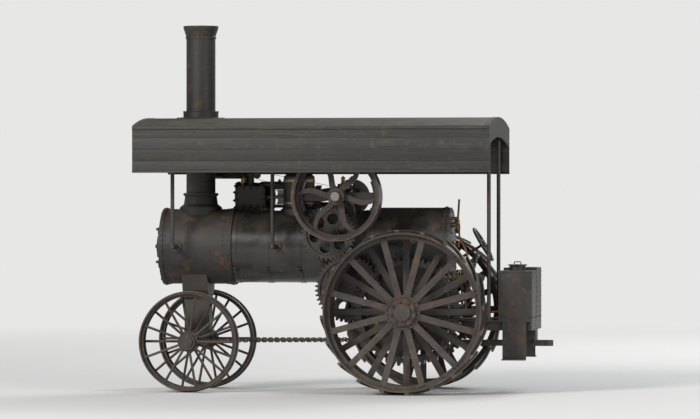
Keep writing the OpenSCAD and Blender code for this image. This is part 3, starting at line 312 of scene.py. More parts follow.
class TimberGrain(Shared):
    """Grain lines and checks along a place's X, and one tone for each board across its Y."""

    name = "timber grain"
    inputs = {"Board Width": 0.1, "First Edge": 0.0, "Place": (0.0, 0.0, 0.0)}
    outputs = ("Grain", "Tone", "Checks")

    @classmethod
    def effect(cls, g: Graph, given: Outputs) -> tuple[Socket, ...]:
        """Grain that starts anew on each board.

        Args:
            g: The group's graph.
            given: Width of a board, edge of the first one, and the place.

        Returns:
            Grain, tone and checks.
        """
        across = g.minus(g.parts(given["Place"])["Y"], given["First Edge"])
        board = g.calc("FLOOR", g.calc("DIVIDE", across, given["Board Width"]))
        tone = g.add("TexWhiteNoise", {"W": board}, noise_dimensions="1D").outputs["Value"]
        shift = g.vector(g.times(tone, 9.0))
        place = g.add("VectorMath", {0: given["Place"], 1: shift}, operation="ADD").outputs[0]
        checks = g.noise(g.stretched(place, (1.4, 120.0, 120.0)), 1.0, 2.0)
        return (g.noise(g.stretched(place, (2.2, 46.0, 46.0)), 1.0, 6.0, 0.62), tone,
                g.span(checks, 0.62, 0.7))


# Finishes

RUST_DARK = (0.075, 0.028, 0.014)
RUST_LIGHT = (0.20, 0.085, 0.035)
DUST = (0.150, 0.124, 0.092)
# Soot-black: soot spots on the dial, dark checks in the wood, and painted shade in hollows.
SOOT_AND_SHADE = (0.012, 0.011, 0.010)


def toned(colour: Colour, share: float) -> Colour:
    """Darker or lighter tone of a colour."""
    return tuple(share * part for part in colour)


@dataclass(frozen=True)
class Finish:
    """One procedural material; the slot says which of the record's slots it fills."""

    name: str
    slot: Slot

    def feeds(self, g: Graph) -> dict[str, object]:
        """What goes into the Principled shader."""
        raise NotImplementedError

    def material(self) -> bpy.types.Material:
        """Builds the material once.

        Returns:
            The material.
        """
        material = bpy.data.materials.get(self.name)
        if material:
            return material
        material = bpy.data.materials.new(self.name)
        material.use_nodes = True
        g = Graph(material.node_tree)
        shader = g.add("BsdfPrincipled", self.feeds(g))
        g.add("OutputMaterial", {"Surface": shader.outputs[0]})
        return material


@dataclass(frozen=True)
class Painted(Finish):
    """Old paint over iron, with wear, rust, dust, mud splash and painted shade in its hollows."""

    paint: Colour
    faded: Colour
    rust: float = 0.5
    edge: float = 0.6
    dust: float = 0.5
    splash: float = 0.5
    # Strength of the painted shade laid into the hollows.
    hollow_shade: float = 0.5
    gloss: float = 0.42
    coat: float = 0.0
    cast: float = 0.0
    rubbed: tuple[str, float] | None = None
    rubbed_metal: Colour = (0.21, 0.19, 0.17)

    def contact(self, g: Graph, ragged: Socket) -> Socket:
        """Masks what road or belt keeps bare: all beyond a radius round a wheel's axle.

        Args:
            g: The material's graph.
            ragged: Mask that breaks the bare faces up.

        Returns:
            The mask.
        """
        node, radius = self.rubbed
        axle, place = middle(node), g.parts(g.here())
        away = g.length(g.vector(g.minus(place["X"], axle.x), g.minus(place["Z"], axle.z)))
        return g.times(g.span(away, radius - 0.004, radius), g.minus(1.0, g.times(ragged, 0.7)))

    def feeds(self, g: Graph) -> dict[str, object]:
        """Paint under rust, painted shade in the hollows and dust, in that order.

        Args:
            g: The material's graph.

        Returns:
            Values by input of the shader.
        """
        wear = g.group(Weathering)
        base = g.mix(self.paint, self.faded, wear["Mottle"])
        base = g.mix(base, self.faded, wear["Streaks"], 0.55)
        bare = g.plus(g.times(wear["Spots"], self.rust), g.times(wear["Edge"], self.edge), True)
        base = g.mix(base, g.mix(RUST_DARK, RUST_LIGHT, wear["Grain"]), bare)
        # Painted shade: soot-black laid into the hollows through ambient occlusion.
        base = g.mix(base, SOOT_AND_SHADE, wear["Shaded Hollows"], self.hollow_shade)
        dusty = g.plus(g.times(wear["Dust"], self.dust), g.times(wear["Splash"], self.splash), True)
        base = g.mix(base, DUST, dusty, 0.85)
        rough = g.span(g.most(bare, dusty), 0.0, 1.0, self.gloss, 0.9)
        rough = g.plus(rough, g.times(g.minus(wear["Mottle"], 0.5), 0.16), True)
        height = g.plus(g.times(wear["Grain"], 0.25 + self.cast), g.times(bare, -0.35))
        height = g.plus(height, g.times(wear["Mottle"], 0.4 * self.cast))
        feeds = {"Normal": g.bump(height, 0.35 + 0.35 * self.cast, 0.0012),
                 "Coat Weight": self.coat, "Coat Roughness": 0.25}
        if self.rubbed:
            rubbed = self.contact(g, wear["Mottle"])
            base = g.mix(base, g.mix(self.rubbed_metal, RUST_LIGHT, wear["Spots"], 0.5), rubbed)
            rough = g.minus(rough, g.times(rubbed, 0.3), True)
            feeds["Metallic"] = g.times(rubbed, 0.8)
        return {**feeds, "Base Color": base, "Roughness": rough}


@dataclass(frozen=True)
class BareMetal(Finish):
    """Worked metal with tool marks, oil film and tarnish."""

    metal: Colour = (0.34, 0.325, 0.30)
    tarnish: Colour = (0.085, 0.072, 0.058)
    stain: Colour = RUST_DARK
    dulled: float = 0.7
    stained: float = 0.45
    gloss: float = 0.26

    def feeds(self, g: Graph) -> dict[str, object]:
        """Metal under tarnish, stains and dust.

        Args:
            g: The material's graph.

        Returns:
            Values by input of the shader.
        """
        wear = g.group(Weathering, {"Spot Size": 16.0, "Grain Size": 420.0})
        dull = g.times(g.most(wear["Mottle"], wear["Shaded Hollows"]), self.dulled)
        spots = g.times(wear["Spots"], self.stained)
        base = g.mix(g.mix(self.metal, self.tarnish, dull), self.stain, spots)
        rough = g.span(dull, 0.0, 1.0, self.gloss, self.gloss + 0.35)
        return {"Base Color": g.mix(base, DUST, wear["Dust"], 0.25),
                "Metallic": g.span(g.most(spots, g.times(wear["Dust"], 0.4)), 0.0, 0.8, 1.0, 0.15),
                "Roughness": g.plus(rough, g.times(wear["Grain"], 0.12), True),
                "Normal": g.bump(wear["Grain"], 0.18, 0.0006)}


@dataclass(frozen=True)
class Timber(Finish):
    """Weathered boards with rubbed near-black paint, on the canopy dark also as painted shade; axes names
    those along, across and through them.
    """

    wood: Colour = (0.085, 0.066, 0.050)
    weathered: Colour = (0.12, 0.113, 0.102)
    # Near-black paint: on the canopy it is painted shade as well as paint, dark to match a band of shade
    # behind the stack.
    paint: Colour = (0.017, 0.016, 0.015)
    painted: float = 0.9
    board: float = 0.1111
    first: float = -1.0
    axes: str = "XYZ"

    def feeds(self, g: Graph) -> dict[str, object]:
        """Wood under flaking paint, dark checks, painted shade in the hollows and dust.

        Args:
            g: The material's graph.

        Returns:
            Values by input of the shader.
        """
        wear = g.group(Weathering, {"Spot Size": 9.0})
        parts = g.parts(g.here())
        wood = g.group(TimberGrain, {"Board Width": self.board, "First Edge": self.first,
                                     "Place": g.vector(*(parts[axis] for axis in self.axes))})
        bare = g.mix(self.wood, toned(self.wood, 0.45), wood["Grain"])
        bare = g.mix(bare, self.weathered, wood["Tone"], 0.6)
        coat = g.mix(self.paint, toned(self.paint, 1.9), wood["Tone"])
        flaked = g.plus(g.span(wood["Grain"], 0.5, 0.72), g.plus(wear["Spots"], wear["Edge"]), True)
        cover = g.times(g.minus(1.0, g.times(flaked, 0.8)), self.painted)
        base = g.mix(bare, coat, cover)
        # Dark checks in the wood, and painted shade in the hollows through ambient occlusion.
        base = g.mix(base, SOOT_AND_SHADE, g.most(wood["Checks"], g.times(wear["Shaded Hollows"], 0.6)))
        height = g.minus(g.plus(wood["Grain"], g.times(cover, 0.3)), wood["Checks"])
        return {"Base Color": g.mix(base, DUST, wear["Dust"], 0.35),
                "Roughness": g.span(cover, 0.0, 1.0, 0.9, 0.62), "Normal": g.bump(height, 0.5, 0.0022)}


@dataclass(frozen=True)
class Glass(Finish):
    """Clear glass of the gauge, with a little grime."""

    tint: Colour = (0.92, 0.96, 0.93)
    grime: Colour = (0.55, 0.5, 0.42)

    def feeds(self, g: Graph) -> dict[str, object]:
        """Glass and its grime."""
        mottle = g.group(Weathering)["Mottle"]
        return {"Base Color": g.mix(self.tint, self.grime, mottle, 0.3), "Transmission Weight": 1.0,
                "Roughness": g.span(mottle, 0.0, 1.0, 0.03, 0.16), "IOR": 1.47}


@dataclass(frozen=True)
class DialFace(Finish):
    """Yellowed enamel of the pressure gauge's dial."""

    enamel: Colour = (0.62, 0.58, 0.47)
    aged: Colour = (0.42, 0.36, 0.25)

    def feeds(self, g: Graph) -> dict[str, object]:
        """Enamel with sooty spots.

        Args:
            g: The material's graph.

        Returns:
            Values by input of the shader.
        """
        wear = g.group(Weathering, {"Spot Size": 40.0})
        base = g.mix(self.enamel, self.aged, wear["Mottle"])
        return {"Base Color": g.mix(base, SOOT_AND_SHADE, wear["Spots"], 0.4),
                "Roughness": g.span(wear["Grain"], 0.2, 0.8, 0.3, 0.5)}


@dataclass(frozen=True)
class Leather(Finish):
    """Oiled leather of a flat belt."""

    hide: Colour = (0.085, 0.050, 0.028)

    def feeds(self, g: Graph) -> dict[str, object]:
        """Hide, oil stains, pores and dust.

        Args:
            g: The material's graph.

        Returns:
            Values by input of the shader.
        """
        wear = g.group(Weathering, {"Grain Size": 600.0})
        base = g.mix(self.hide, toned(self.hide, 0.4), wear["Mottle"])
        return {"Base Color": g.mix(base, DUST, wear["Dust"], 0.3),
                "Roughness": g.span(wear["Mottle"], 0.0, 1.0, 0.62, 0.4),
                "Normal": g.bump(wear["Grain"], 0.4, 0.0008)}


BOILER = Painted("boiler black", Slot.BOILER, (0.014, 0.0135, 0.013), (0.036, 0.034, 0.030),
                 rust=0.32, edge=0.45, dust=0.42, splash=0.35, hollow_shade=0.6, gloss=0.30, coat=0.22)
SMOKEBOX = Painted("smokebox black", Slot.STACK, (0.013, 0.012, 0.0115), (0.034, 0.030, 0.026),
                   rust=0.7, edge=0.5, dust=0.42, splash=0.2, hollow_shade=0.8, gloss=0.55)
STACK = Painted("sooty stack", Slot.STACK, (0.010, 0.0095, 0.009), (0.028, 0.024, 0.021),
                rust=0.5, edge=0.35, dust=0.2, splash=0.0, hollow_shade=0.9, gloss=0.58)
WHEEL = Painted("wheel paint", Slot.WHEEL, (0.026, 0.017, 0.014), (0.048, 0.034, 0.027),
                rust=0.6, edge=0.8, dust=0.4, splash=0.45, hollow_shade=0.6, gloss=0.46)
FLYWHEEL = replace(WHEEL, name="flywheel paint", splash=0.2, rubbed=("flywheel", 0.449),
                   rubbed_metal=(0.30, 0.28, 0.26))
FRONT_TREAD = replace(WHEEL, name="front wheel paint", rubbed=("front_wheel_left", 0.508))
TREAD = Painted("worn tread", Slot.WHEEL, (0.028, 0.023, 0.020), (0.054, 0.044, 0.036), rust=0.7,
                edge=0.85, dust=0.42, splash=0.55, hollow_shade=0.55, gloss=0.44, cast=0.2,
                rubbed=("drive_wheel_left", 0.822))
IRON = Painted("cast iron", Slot.IRON, (0.022, 0.020, 0.018), (0.046, 0.041, 0.036),
               rust=0.55, edge=0.7, dust=0.5, splash=0.45, hollow_shade=0.65, gloss=0.46, cast=0.55)
GEAR = Painted("oily gear iron", Slot.IRON, (0.020, 0.0175, 0.015), (0.042, 0.036, 0.030),
               rust=0.32, edge=0.55, dust=0.28, splash=0.3, hollow_shade=0.85, gloss=0.30, cast=0.35, coat=0.28)
PLATE = Painted("plate paint", Slot.PLATE, (0.021, 0.020, 0.018), (0.046, 0.043, 0.037),
                rust=0.6, edge=0.8, hollow_shade=0.55, gloss=0.44)
STEEL = BareMetal("bright steel", Slot.STEEL)
BRASS = BareMetal("brass", Slot.BRASS, (0.56, 0.37, 0.13), (0.13, 0.085, 0.04), (0.05, 0.045, 0.025),
                  dulled=0.75, stained=0.3, gloss=0.3)
COPPER = BareMetal("copper pipe", Slot.BRASS, (0.42, 0.19, 0.10), (0.09, 0.05, 0.032), (0.05, 0.07, 0.05),
                   dulled=0.85, stained=0.35, gloss=0.38)
# Canopy boards in near-black paint that is also painted shade behind the stack.
BOARDS = Timber("roof boards", Slot.WOOD)
SKIRTS = Timber("skirt boards", Slot.WOOD, board=0.1175, first=2.23, axes="XZY")
ENDS = Timber("end boards", Slot.WOOD, board=0.098, first=-0.98, axes="ZYX")
PLANKS = Timber("deck planks", Slot.WOOD, (0.11, 0.085, 0.062), board=0.1287, first=-0.386, painted=0.12)
GLASS = Glass("gauge glass", Slot.BRASS)
DIAL = DialFace("dial enamel", Slot.BRASS)
BELT = Leather("belt leather", Slot.WOOD)

CAD_FINISHES: dict[Finish, tuple[str, ...]] = {
    BOILER: ("barrel", "firebox", "steam_dome"),
    SMOKEBOX: ("smokebox", "smokebox_door", "tube_sheet"),
    STACK: ("smokestack", "exhaust_pipe"),
    FRONT_TREAD: ("front_wheel_left", "front_wheel_right"),
    FLYWHEEL: ("flywheel",),
    TREAD: ("drive_wheel_left", "drive_wheel_right"),
    IRON: ("grate", "fire_door", "steam_cylinder", "engine_bed", "crank_bearings", "governor",
           "countershaft_housing", "axle_brackets", "pedestal", "front_axle", "steering_drum",
           "drawbar", "steam_pipe", "steering_chain_left", "steering_chain_right"),
    GEAR: ("crank_pinion", "intermediate_gear", "compensating_gear", "bull_pinion_left",
           "bull_pinion_right", "bull_gear_left", "bull_gear_right", "clutch"),
    PLATE: ("ash_pan", "platform", "coal_bunker", "water_tank", "canopy_posts", "canopy_frame",
            "steering_shaft"),
    STEEL: ("crosshead_and_rods", "valve_gear", "crankshaft", "reverse_lever"),
    BRASS: ("backhead_fittings", "safety_valve"),
    BOARDS: ("canopy_roof",),
}

# Modelling


def release() -> None:
    """Deselects everything."""
    bpy.ops.object.select_all(action="DESELECT")


def take(obj: Obj) -> Obj:
    """Makes one object the only selected and active one.

    Args:
        obj: The object.

    Returns:
        The same object.
    """
    release()
    obj.select_set(True)
    bpy.context.view_layer.objects.active = obj
    return obj


def settle(obj: Obj) -> Obj:
    """Moves an object's place into its mesh.

    Args:
        obj: The object.

    Returns:
        The same object.
    """
    take(obj)
    bpy.ops.object.transform_apply(location=True, rotation=True, scale=True)
    return obj


@contextmanager
def editing() -> Iterator[None]:
    """Edit mode on the active object, with all of it selected.

    Yields:
        Nothing.
    """
    bpy.ops.object.mode_set(mode="EDIT")
    bpy.ops.mesh.select_all(action="SELECT")
    yield
    bpy.ops.object.mode_set(mode="OBJECT")


def face_outwards() -> None:
    """Turns all faces of the mesh in edit mode outwards."""
    bpy.ops.mesh.select_all(action="SELECT")
    bpy.ops.mesh.normals_make_consistent(inside=False)


def refine(obj: Obj, kind: str, **settings: object) -> Obj:
    """Adds one modifier with its settings and applies it.

    Args:
        obj: The object.
        kind: Modifier type.
        settings: Its properties.

    Returns:
        The same object.
    """
    take(obj)
    modifier = obj.modifiers.new(kind.lower(), kind)
    for name, value in settings.items():
        setattr(modifier, name, value)
    bpy.ops.object.modifier_apply(modifier=modifier.name)
    return obj


def soften(obj: Obj, width: float, segments: int = 2, angle: float = 35.0) -> Obj:
    """Rounds the sharp edges of an object."""
    return refine(obj, "BEVEL", width=width, segments=segments, limit_method="ANGLE",
                  angle_limit=math.radians(angle), use_clamp_overlap=True)


def turn_to(axis: Point) -> Euler:
    """Turn that brings Z onto an axis."""
    return Vector(axis).to_track_quat("Z", "Y").to_euler()


def block(start: Point, end: Point, round_by: float = 0.003) -> Obj:
    """Adds a block between two corners and rounds its edges.

    Args:
        start: One corner.
        end: The opposite corner.
        round_by: Width of the bevel.

    Returns:
        The object.
    """
    release()
    a, b = Vector(start), Vector(end)
    size = Vector([abs(v) for v in b - a])
    bpy.ops.mesh.primitive_cube_add(size=1.0, location=(a + b) / 2, scale=size)
    return soften(settle(bpy.context.object), min(round_by, 0.45 * min(size)))


def rod(start: Point, end: Point, radius: float, sides: int = 20, round_by: float = 0.002) -> Obj:
    """Adds a round bar between two points and rounds its ends.

    Args:
        start: Middle of one end.
        end: Middle of the other end.
        radius: Radius of the bar.
        sides: Faces round the bar.
        round_by: Width of the bevel at the ends.

    Returns:
        The object.
    """
    release()
    a, b = Vector(start), Vector(end)
    bpy.ops.mesh.primitive_cylinder_add(vertices=sides, radius=radius, depth=(b - a).length,
                                        location=(a + b) / 2, rotation=turn_to(b - a))
    obj = settle(bpy.context.object)
    return soften(obj, min(round_by, 0.4 * radius)) if round_by else obj


def turned(profile: Sequence[Point], base: Point = (0, 0, 0), axis: Vector = UP, sides: int = 24) -> Obj:
    """Turns a closed form on its axis, from a circle that is extruded and resized step by step.

    Args:
        profile: Radius and height of each step; the first and last radius are 0.
        base: Place of height 0.
        axis: Direction of the height.
        sides: Faces round the form.

    Returns:
        The object.
    """
    release()
    (radius, height), *steps = [(max(r, 1e-5), h) for r, h in profile]
    bpy.ops.mesh.primitive_circle_add(vertices=sides, radius=radius, location=(0, 0, height))
    with editing():
        for next_radius, next_height in steps:
            rise = {"value": (0, 0, next_height - height)}
            bpy.ops.mesh.extrude_region_move(TRANSFORM_OT_translate=rise)
            share = next_radius / radius
            bpy.ops.transform.resize(value=(share, share, 1), center_override=(0, 0, next_height))
            radius, height = next_radius, next_height
        bpy.ops.mesh.select_all(action="SELECT")
        bpy.ops.mesh.remove_doubles(threshold=1e-4)
        face_outwards()
    obj = bpy.context.object
    obj.rotation_euler, obj.location = turn_to(axis), base
    return settle(obj)


def hoop(centre: Point, axis: Vector, radius: float, width: float, thick: float, sides: int = 96) -> Obj:
    """Bends a flat band round an axis.

    Args:
        centre: Middle of the band.
        axis: Direction of its axis.
        radius: Radius of the inner face.
        width: Width along the axis.
        thick: Thickness.
        sides: Faces round the band.

    Returns:
        The object.
    """
    release()
    bpy.ops.mesh.primitive_cylinder_add(vertices=sides, radius=radius, depth=width, end_fill_type="NOTHING",
                                        location=centre, rotation=turn_to(axis))
    obj = refine(settle(bpy.context.object), "SOLIDIFY", thickness=thick, offset=1.0)
    return soften(obj, 0.3 * thick, 1, 50.0)


def rounded_path(points: Sequence[Point], radius: float, steps: int = 6) -> list[Vector]:
    """Rounds the corners of a path with arcs.

    Args:
        points: Corners of the path.
        radius: Radius at each inner corner.
        steps: Spans of each arc.

    Returns:
        The points of the rounded path.
    """
    knees = [Vector(p) for p in points]
    path = [knees[0]]
    for before, knee, after in zip(knees, knees[1:], knees[2:]):
        back, ahead = before - knee, after - knee
        reach = min(radius, 0.45 * back.length, 0.45 * ahead.length)
        path += [knee + back.normalized() * reach * (1 - t) ** 2 + ahead.normalized() * reach * t ** 2
                 for t in (i / steps for i in range(steps + 1))]
    return [*path, knees[-1]]


def pipe(points: Sequence[Point], radius: float, bend: float = 0.06) -> Obj:
    """Bends a pipe along a path.

    Args:
        points: Corners of its middle line.
        radius: Radius of the pipe.
        bend: Radius of the corners.

    Returns:
        The object.
    """
    curve = bpy.data.curves.new("pipe", "CURVE")
    curve.dimensions, curve.bevel_depth, curve.bevel_resolution, curve.use_fill_caps = "3D", radius, 3, True
    path = rounded_path(points, bend)
    spline = curve.splines.new("POLY")
    spline.points.add(len(path) - 1)
    spline.points.foreach_set("co", [value for point in path for value in (*point, 1.0)])
    take(placed(curve))
    bpy.ops.object.convert(target="MESH")
    return bpy.context.object


def placed(data: bpy.types.ID) -> Obj:
    """Puts new data into the scene.

    Args:
        data: Mesh, curve, lamp or camera.

    Returns:
        Its object.
    """
    obj = bpy.data.objects.new(data.name, data)
    bpy.context.collection.objects.link(obj)
    return obj


def join(*pieces: Obj) -> Obj:
    """Joins objects.

    Args:
        pieces: The objects.

    Returns:
        The first one, with all of them in its mesh.
    """
    take(pieces[0])
    for piece in pieces:
        piece.select_set(True)
    if len(pieces) > 1:
        bpy.ops.object.join()
    return pieces[0]


@dataclass(frozen=True)
class Place:
    """Where a copy goes: its point, the way that its own Z looks, its turn about it and its scale."""

    at: Point
    out: Point
    turn: float = 0.0
    scale: float = 1.0

    def matrix(self) -> Matrix:
        """Matrix of the copy."""
        face = Vector(self.out).normalized().to_track_quat("Z", "Y").to_matrix().to_4x4()
        return (Matrix.Translation(self.at) @ face @ Matrix.Rotation(self.turn, 4, "Z")
                @ Matrix.Scale(self.scale, 4))


def copies(pattern: Obj, places: Sequence[Place]) -> Obj:
    """Copies a pattern, modelled at the origin, to many places in one mesh.

    Args:
        pattern: The object that is copied; it is removed at the end.
        places: Where the copies go.

    Returns:
        The object with all copies.
    """
    count = len(pattern.data.vertices)
    flat = np.empty(3 * count)
    pattern.data.vertices.foreach_get("co", flat)
    points = np.c_[flat.reshape(-1, 3), np.ones(count)]
    moved = np.concatenate([points @ np.array(place.matrix()).T for place in places])[:, :3]
    faces = [tuple(face.vertices) for face in pattern.data.polygons]
    joined = [tuple(v + i * count for v in face) for i in range(len(places)) for face in faces]
    bpy.data.objects.remove(pattern)
    mesh = bpy.data.meshes.new("copies")
    mesh.from_pydata(moved.tolist(), [], joined)
    return placed(mesh)


def hand_in(name: str, finish: Finish, *pieces: Obj, body: Body = Body.CHASSIS, sharp: float = 38.0) -> Obj:
    """Joins pieces to a finished one and gives it its name, finish and body.

    Args:
        name: Name of the finished piece.
        finish: Its finish.
        pieces: What it is joined from.
        body: The body that it rides on.
        sharp: Angle in degrees above which its edges stay sharp.

    Returns:
        The finished piece.
    """
    obj = take(join(*pieces))
    obj.name = name
    bpy.ops.object.shade_smooth_by_angle(angle=math.radians(sharp))
    obj.data.materials.clear()
    obj.data.materials.append(finish.material())
    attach(obj, body.value)
    LOG.info("%s: %d faces on %s", obj.name, len(obj.data.polygons), body.value)
    return obj


def rivet(radius: float) -> Obj:
    """Round rivet head with its seat at Z 0, cut from a flattened sphere.

    Args:
        radius: Radius of the head.

    Returns:
        The object.
    """
    release()
    bpy.ops.mesh.primitive_uv_sphere_add(segments=10, ring_count=6, radius=radius)
    with editing():
        bpy.ops.mesh.bisect(plane_co=(0, 0, -0.1 * radius), plane_no=(0, 0, 1), use_fill=True,
                            clear_inner=True)
        bpy.ops.mesh.select_all(action="SELECT")
        bpy.ops.transform.resize(value=(1, 1, 0.62), center_override=(0, 0, 0))
    return bpy.context.object


def nut(across: float, stud: float) -> Obj:
    """Six-sided nut with its seat at Z 0 on a stud that stands out of it.

    Args:
        across: Width across its flats.
        stud: How far the stud stands out.

    Returns:
        The object.
    """
    release()
    height = 0.8 * across
    top = height + stud
    bpy.ops.mesh.primitive_cylinder_add(vertices=6, radius=across / 2 / math.cos(math.pi / 6), depth=height,
                                        location=(0, 0, height / 2))
    body = soften(settle(bpy.context.object), 0.09 * across, 1)
    profile = [(0, 0), (0.27 * across, 0), (0.27 * across, top - 0.003), (0.2 * across, top), (0, top)]
    return join(body, turned(profile, sides=10))


def on_circle(centre: Point, axis: Vector, radius: float, count: int, out: Vector | None = None,
              start: float = 0.0) -> list[Place]:
    """Places round a circle.

    Args:
        centre: Middle of the circle.
        axis: Its axis.
        radius: Its radius.
        count: How many places.
        out: Where the copies look; without it they look away from the axis.
        start: Angle of the first one.

    Returns:
        The places.
    """
    side = axis.orthogonal().normalized()
    arms = [Matrix.Rotation(start + 2 * math.pi * i / count, 3, axis) @ side for i in range(count)]
    return [Place(Vector(centre) + arm * radius, arm if out is None else out, 0.3 * i)
            for i, arm in enumerate(arms)]


def on_line(start: Point, end: Point, out: Vector, pitch: float) -> list[Place]:
    """Evenly spaced places on a line.

    Args:
        start: First place.
        end: Last place.
        out: Where the copies look.
        pitch: About how far apart they are.

    Returns:
        The places.
    """
    a, b = Vector(start), Vector(end)
    count = max(1, round((b - a).length / pitch))
    return [Place(a.lerp(b, i / count), out) for i in range(count + 1)]


def on_shell(x: float, radius: float, side: int, lean: float) -> Place:
    """Place on the round boiler.

    Args:
        x: Place along the boiler.
        radius: Radius of the shell there.
        side: 1 on the left, -1 on the right.
        lean: Angle above the middle line, in degrees.

    Returns:
        The place.
    """
    out = around(math.radians(lean))
    out.y *= side
    return Place(Vector((x, 0, BOILER_Z)) + out * radius, out)


def around(angle: float) -> Vector:
    """Direction at an angle from +Y towards +Z."""
    return Vector((0, math.cos(angle), math.sin(angle)))


def wheel_arm(angle: float) -> Vector:
    """Direction at an angle from +X towards +Z."""
    return Vector((math.cos(angle), 0, math.sin(angle)))


def at(x: float, y: float, z: float) -> Vector:
    """Point whose x is measured ahead of the drive axle."""
    return Vector((AXLE_X + x, y, z))


# Sub-assemblies


@dataclass
class BoilerFittings:
    """Rivets, stays, band clamps, washout plugs and seams of the boiler."""

    pitch: float = 0.055
    stay_pitch: float = 0.1
    shell_half: float = 0.400
    flange: float = 0.006
    seam_inset: float = 0.05
    seam_rivet: float = 0.0115
    stay_head: float = 0.009
    band_count: int = 5
    band_inset: float = 0.031
    smokebox_r: float = 0.385
    ring_r: float = 0.395
    rear_ring_r: float = 0.393
    smokebox_rivet: float = 0.0095
    small_rivet: float = 0.0075
    door_bolts: int = 6
    stack_r: float = 0.150
    dome_r: float = 0.160

    def outline(self, half: float, bottom: float) -> list[tuple[float, float, Vector]]:
        """Evenly spaced points round the firebox section.

        Args:
            half: Half width of the section.
            bottom: Height of the lowest point.

        Returns:
            y, z and the outward direction of each point.
        """
        rows, steps = round((BOILER_Z - bottom) / self.pitch), round(math.pi * half / self.pitch)
        walls = [(side * half, bottom + (BOILER_Z - bottom) * i / rows, LEFT * side)
                 for side in SIDES for i in range(rows)]
        arch = [around(math.pi * i / steps) for i in range(steps + 1)]
        return walls + [(half * out.y, BOILER_Z + half * out.z, out) for out in arch]

    def firebox_rivets(self) -> None:
        """Rows on the flanged seams, on the mud ring and round the back plate, clear of the axle."""
        start, end = corners("firebox")
        ring_z, axle_gap = start.z + 0.03, 0.17
        places = [Place((x, y, z), out) for x in (start.x + self.seam_inset, end.x - self.seam_inset)
                  for y, z, out in self.outline(self.shell_half + self.flange, ring_z)]
        for side in SIDES:
            y = side * self.shell_half
            row = on_line((start.x + 0.1, y, ring_z), (end.x - 0.1, y, ring_z), LEFT * side, self.pitch)
            places += [place for place in row if abs(place.at.x - AXLE_X) > axle_gap]
        places += [Place((start.x, y, z), -AHEAD)
                   for y, z, _ in self.outline(self.shell_half - 0.028, start.z + 0.17)]
        hand_in("firebox_rivets", BOILER, copies(rivet(self.seam_rivet), places))

    def stays(self) -> None:
        """Grid of stay heads on the sides and the back plate, clear of brackets and fittings."""
        start, end = corners("firebox")
        bracket_z, hole = low("axle_brackets").z + 0.42, middle("fire_door")
        places = []
        for i in range(int((end.x - start.x - 0.22) / self.stay_pitch) + 1):
            x = start.x + 0.12 + i * self.stay_pitch
            heights = [start.z + 0.11 + j * self.stay_pitch for j in range(8)]
            places += [Place((x, side * self.shell_half, z), LEFT * side) for z in heights
                       if abs(x - AXLE_X) >= 0.26 or z >= bracket_z for side in SIDES]
        for y in (i * self.stay_pitch for i in range(-3, 4)):
            for z in (start.z + 0.22 + j * self.stay_pitch for j in range(10)):
                near_door = abs(y - hole.y) < 0.24 and abs(z - hole.z) < 0.22
                inside = math.hypot(y, max(0.0, z - BOILER_Z)) <= self.shell_half - 0.07
                if inside and not near_door:
                    places.append(Place((start.x, y, z), -AHEAD))
        hand_in("firebox_stays", BOILER, copies(rivet(self.stay_head), places))

    def band_clamps(self) -> None:
        """Two lugs and a bolt that draw each jacket band tight, low on both sides."""
        lugs = [block((-0.02, s * 0.018 - 0.004, -0.004), (0.02, s * 0.018 + 0.004, 0.026), 0.0015)
                for s in SIDES]
        clamp = join(*lugs, rod((0, -0.034, 0.014), (0, 0.034, 0.014), 0.0055, 10),
                     block((-0.008, -0.036, 0.006), (0.008, -0.026, 0.022), 0.0015))
        start, end = corners("barrel")
        first, last = start.x + self.band_inset, end.x - self.band_inset
        places = [on_shell(first + (last - first) * i / (self.band_count - 1), end.y, side, -38)
                  for i in range(self.band_count) for side in SIDES]
        hand_in("band_clamps", IRON, copies(clamp, places))

    def washout_plugs(self) -> None:
        """Square-headed plugs at the firebox's lower corners."""
        plug = turned([(0, 0), (0.030, 0), (0.030, 0.008), (0.024, 0.012), (0.018, 0.012), (0, 0.012)])
        head = block((-0.011, -0.011, 0.010), (0.011, 0.011, 0.030), 0.002)
        start, end = corners("firebox")
        places = [Place((x, side * self.shell_half, start.z + 0.085), LEFT * side)
                  for side in SIDES for x in (start.x + 0.11, end.x - 0.115)]
        places += [Place((start.x, side * 0.31, start.z + 0.24), -AHEAD) for side in SIDES]
        hand_in("washout_plugs", BRASS, copies(join(plug, head), places))

    def smokebox_rivets(self) -> None:
        """Rows on both rings, on the shell beside them and along its lower seams."""
        back, front = low("smokebox").x, high("smokebox").x - 0.04
        rings = ((front - 0.02, self.ring_r), (back + 0.03, self.rear_ring_r),
                 (back + 0.085, self.smokebox_r), (front - 0.065, self.smokebox_r))
        places = [place for x, radius in rings
                  for place in on_circle((x, 0, BOILER_Z), AHEAD, radius, 48, None, 0.03)]
        places += [on_shell(back + 0.12 + i * (front - back - 0.2) / 11, self.smokebox_r, side, lean)
                   for i in range(12) for lean in (-60, -64.5) for side in SIDES]
        hand_in("smokebox_rivets", SMOKEBOX, copies(rivet(self.smokebox_rivet), places))

    def door_clamps(self) -> None:
        """Swinging dogs that hold the smokebox door's rim, and the door's own rivets."""
        dog = block((-0.016, -0.05, 0.002), (0.016, 0.03, 0.018), 0.004)
        profile = [(0, 0), (0.009, 0), (0.009, 0.03), (0.007, 0.033), (0, 0.033)]
        stud = turned(profile, (0, 0.012, 0), UP, 10)
        top = nut(0.028, 0.004)
        top.location = (0, 0.012, 0.016)
        face = Vector((low("smokebox_door").x, 0, BOILER_Z))
        turns = [2 * math.pi * (i + 0.5) / self.door_bolts for i in range(self.door_bolts)]
        places = [Place(face + around(turn) * 0.335, AHEAD, turn) for turn in turns]
        hand_in("door_clamps", IRON, copies(join(dog, stud, settle(top)), places))
        rim = on_circle(face + AHEAD * 0.014, AHEAD, 0.276, 28, AHEAD)
        hand_in("door_rivets", SMOKEBOX, copies(rivet(self.small_rivet), rim), body=Body.SMOKEBOX_DOOR)

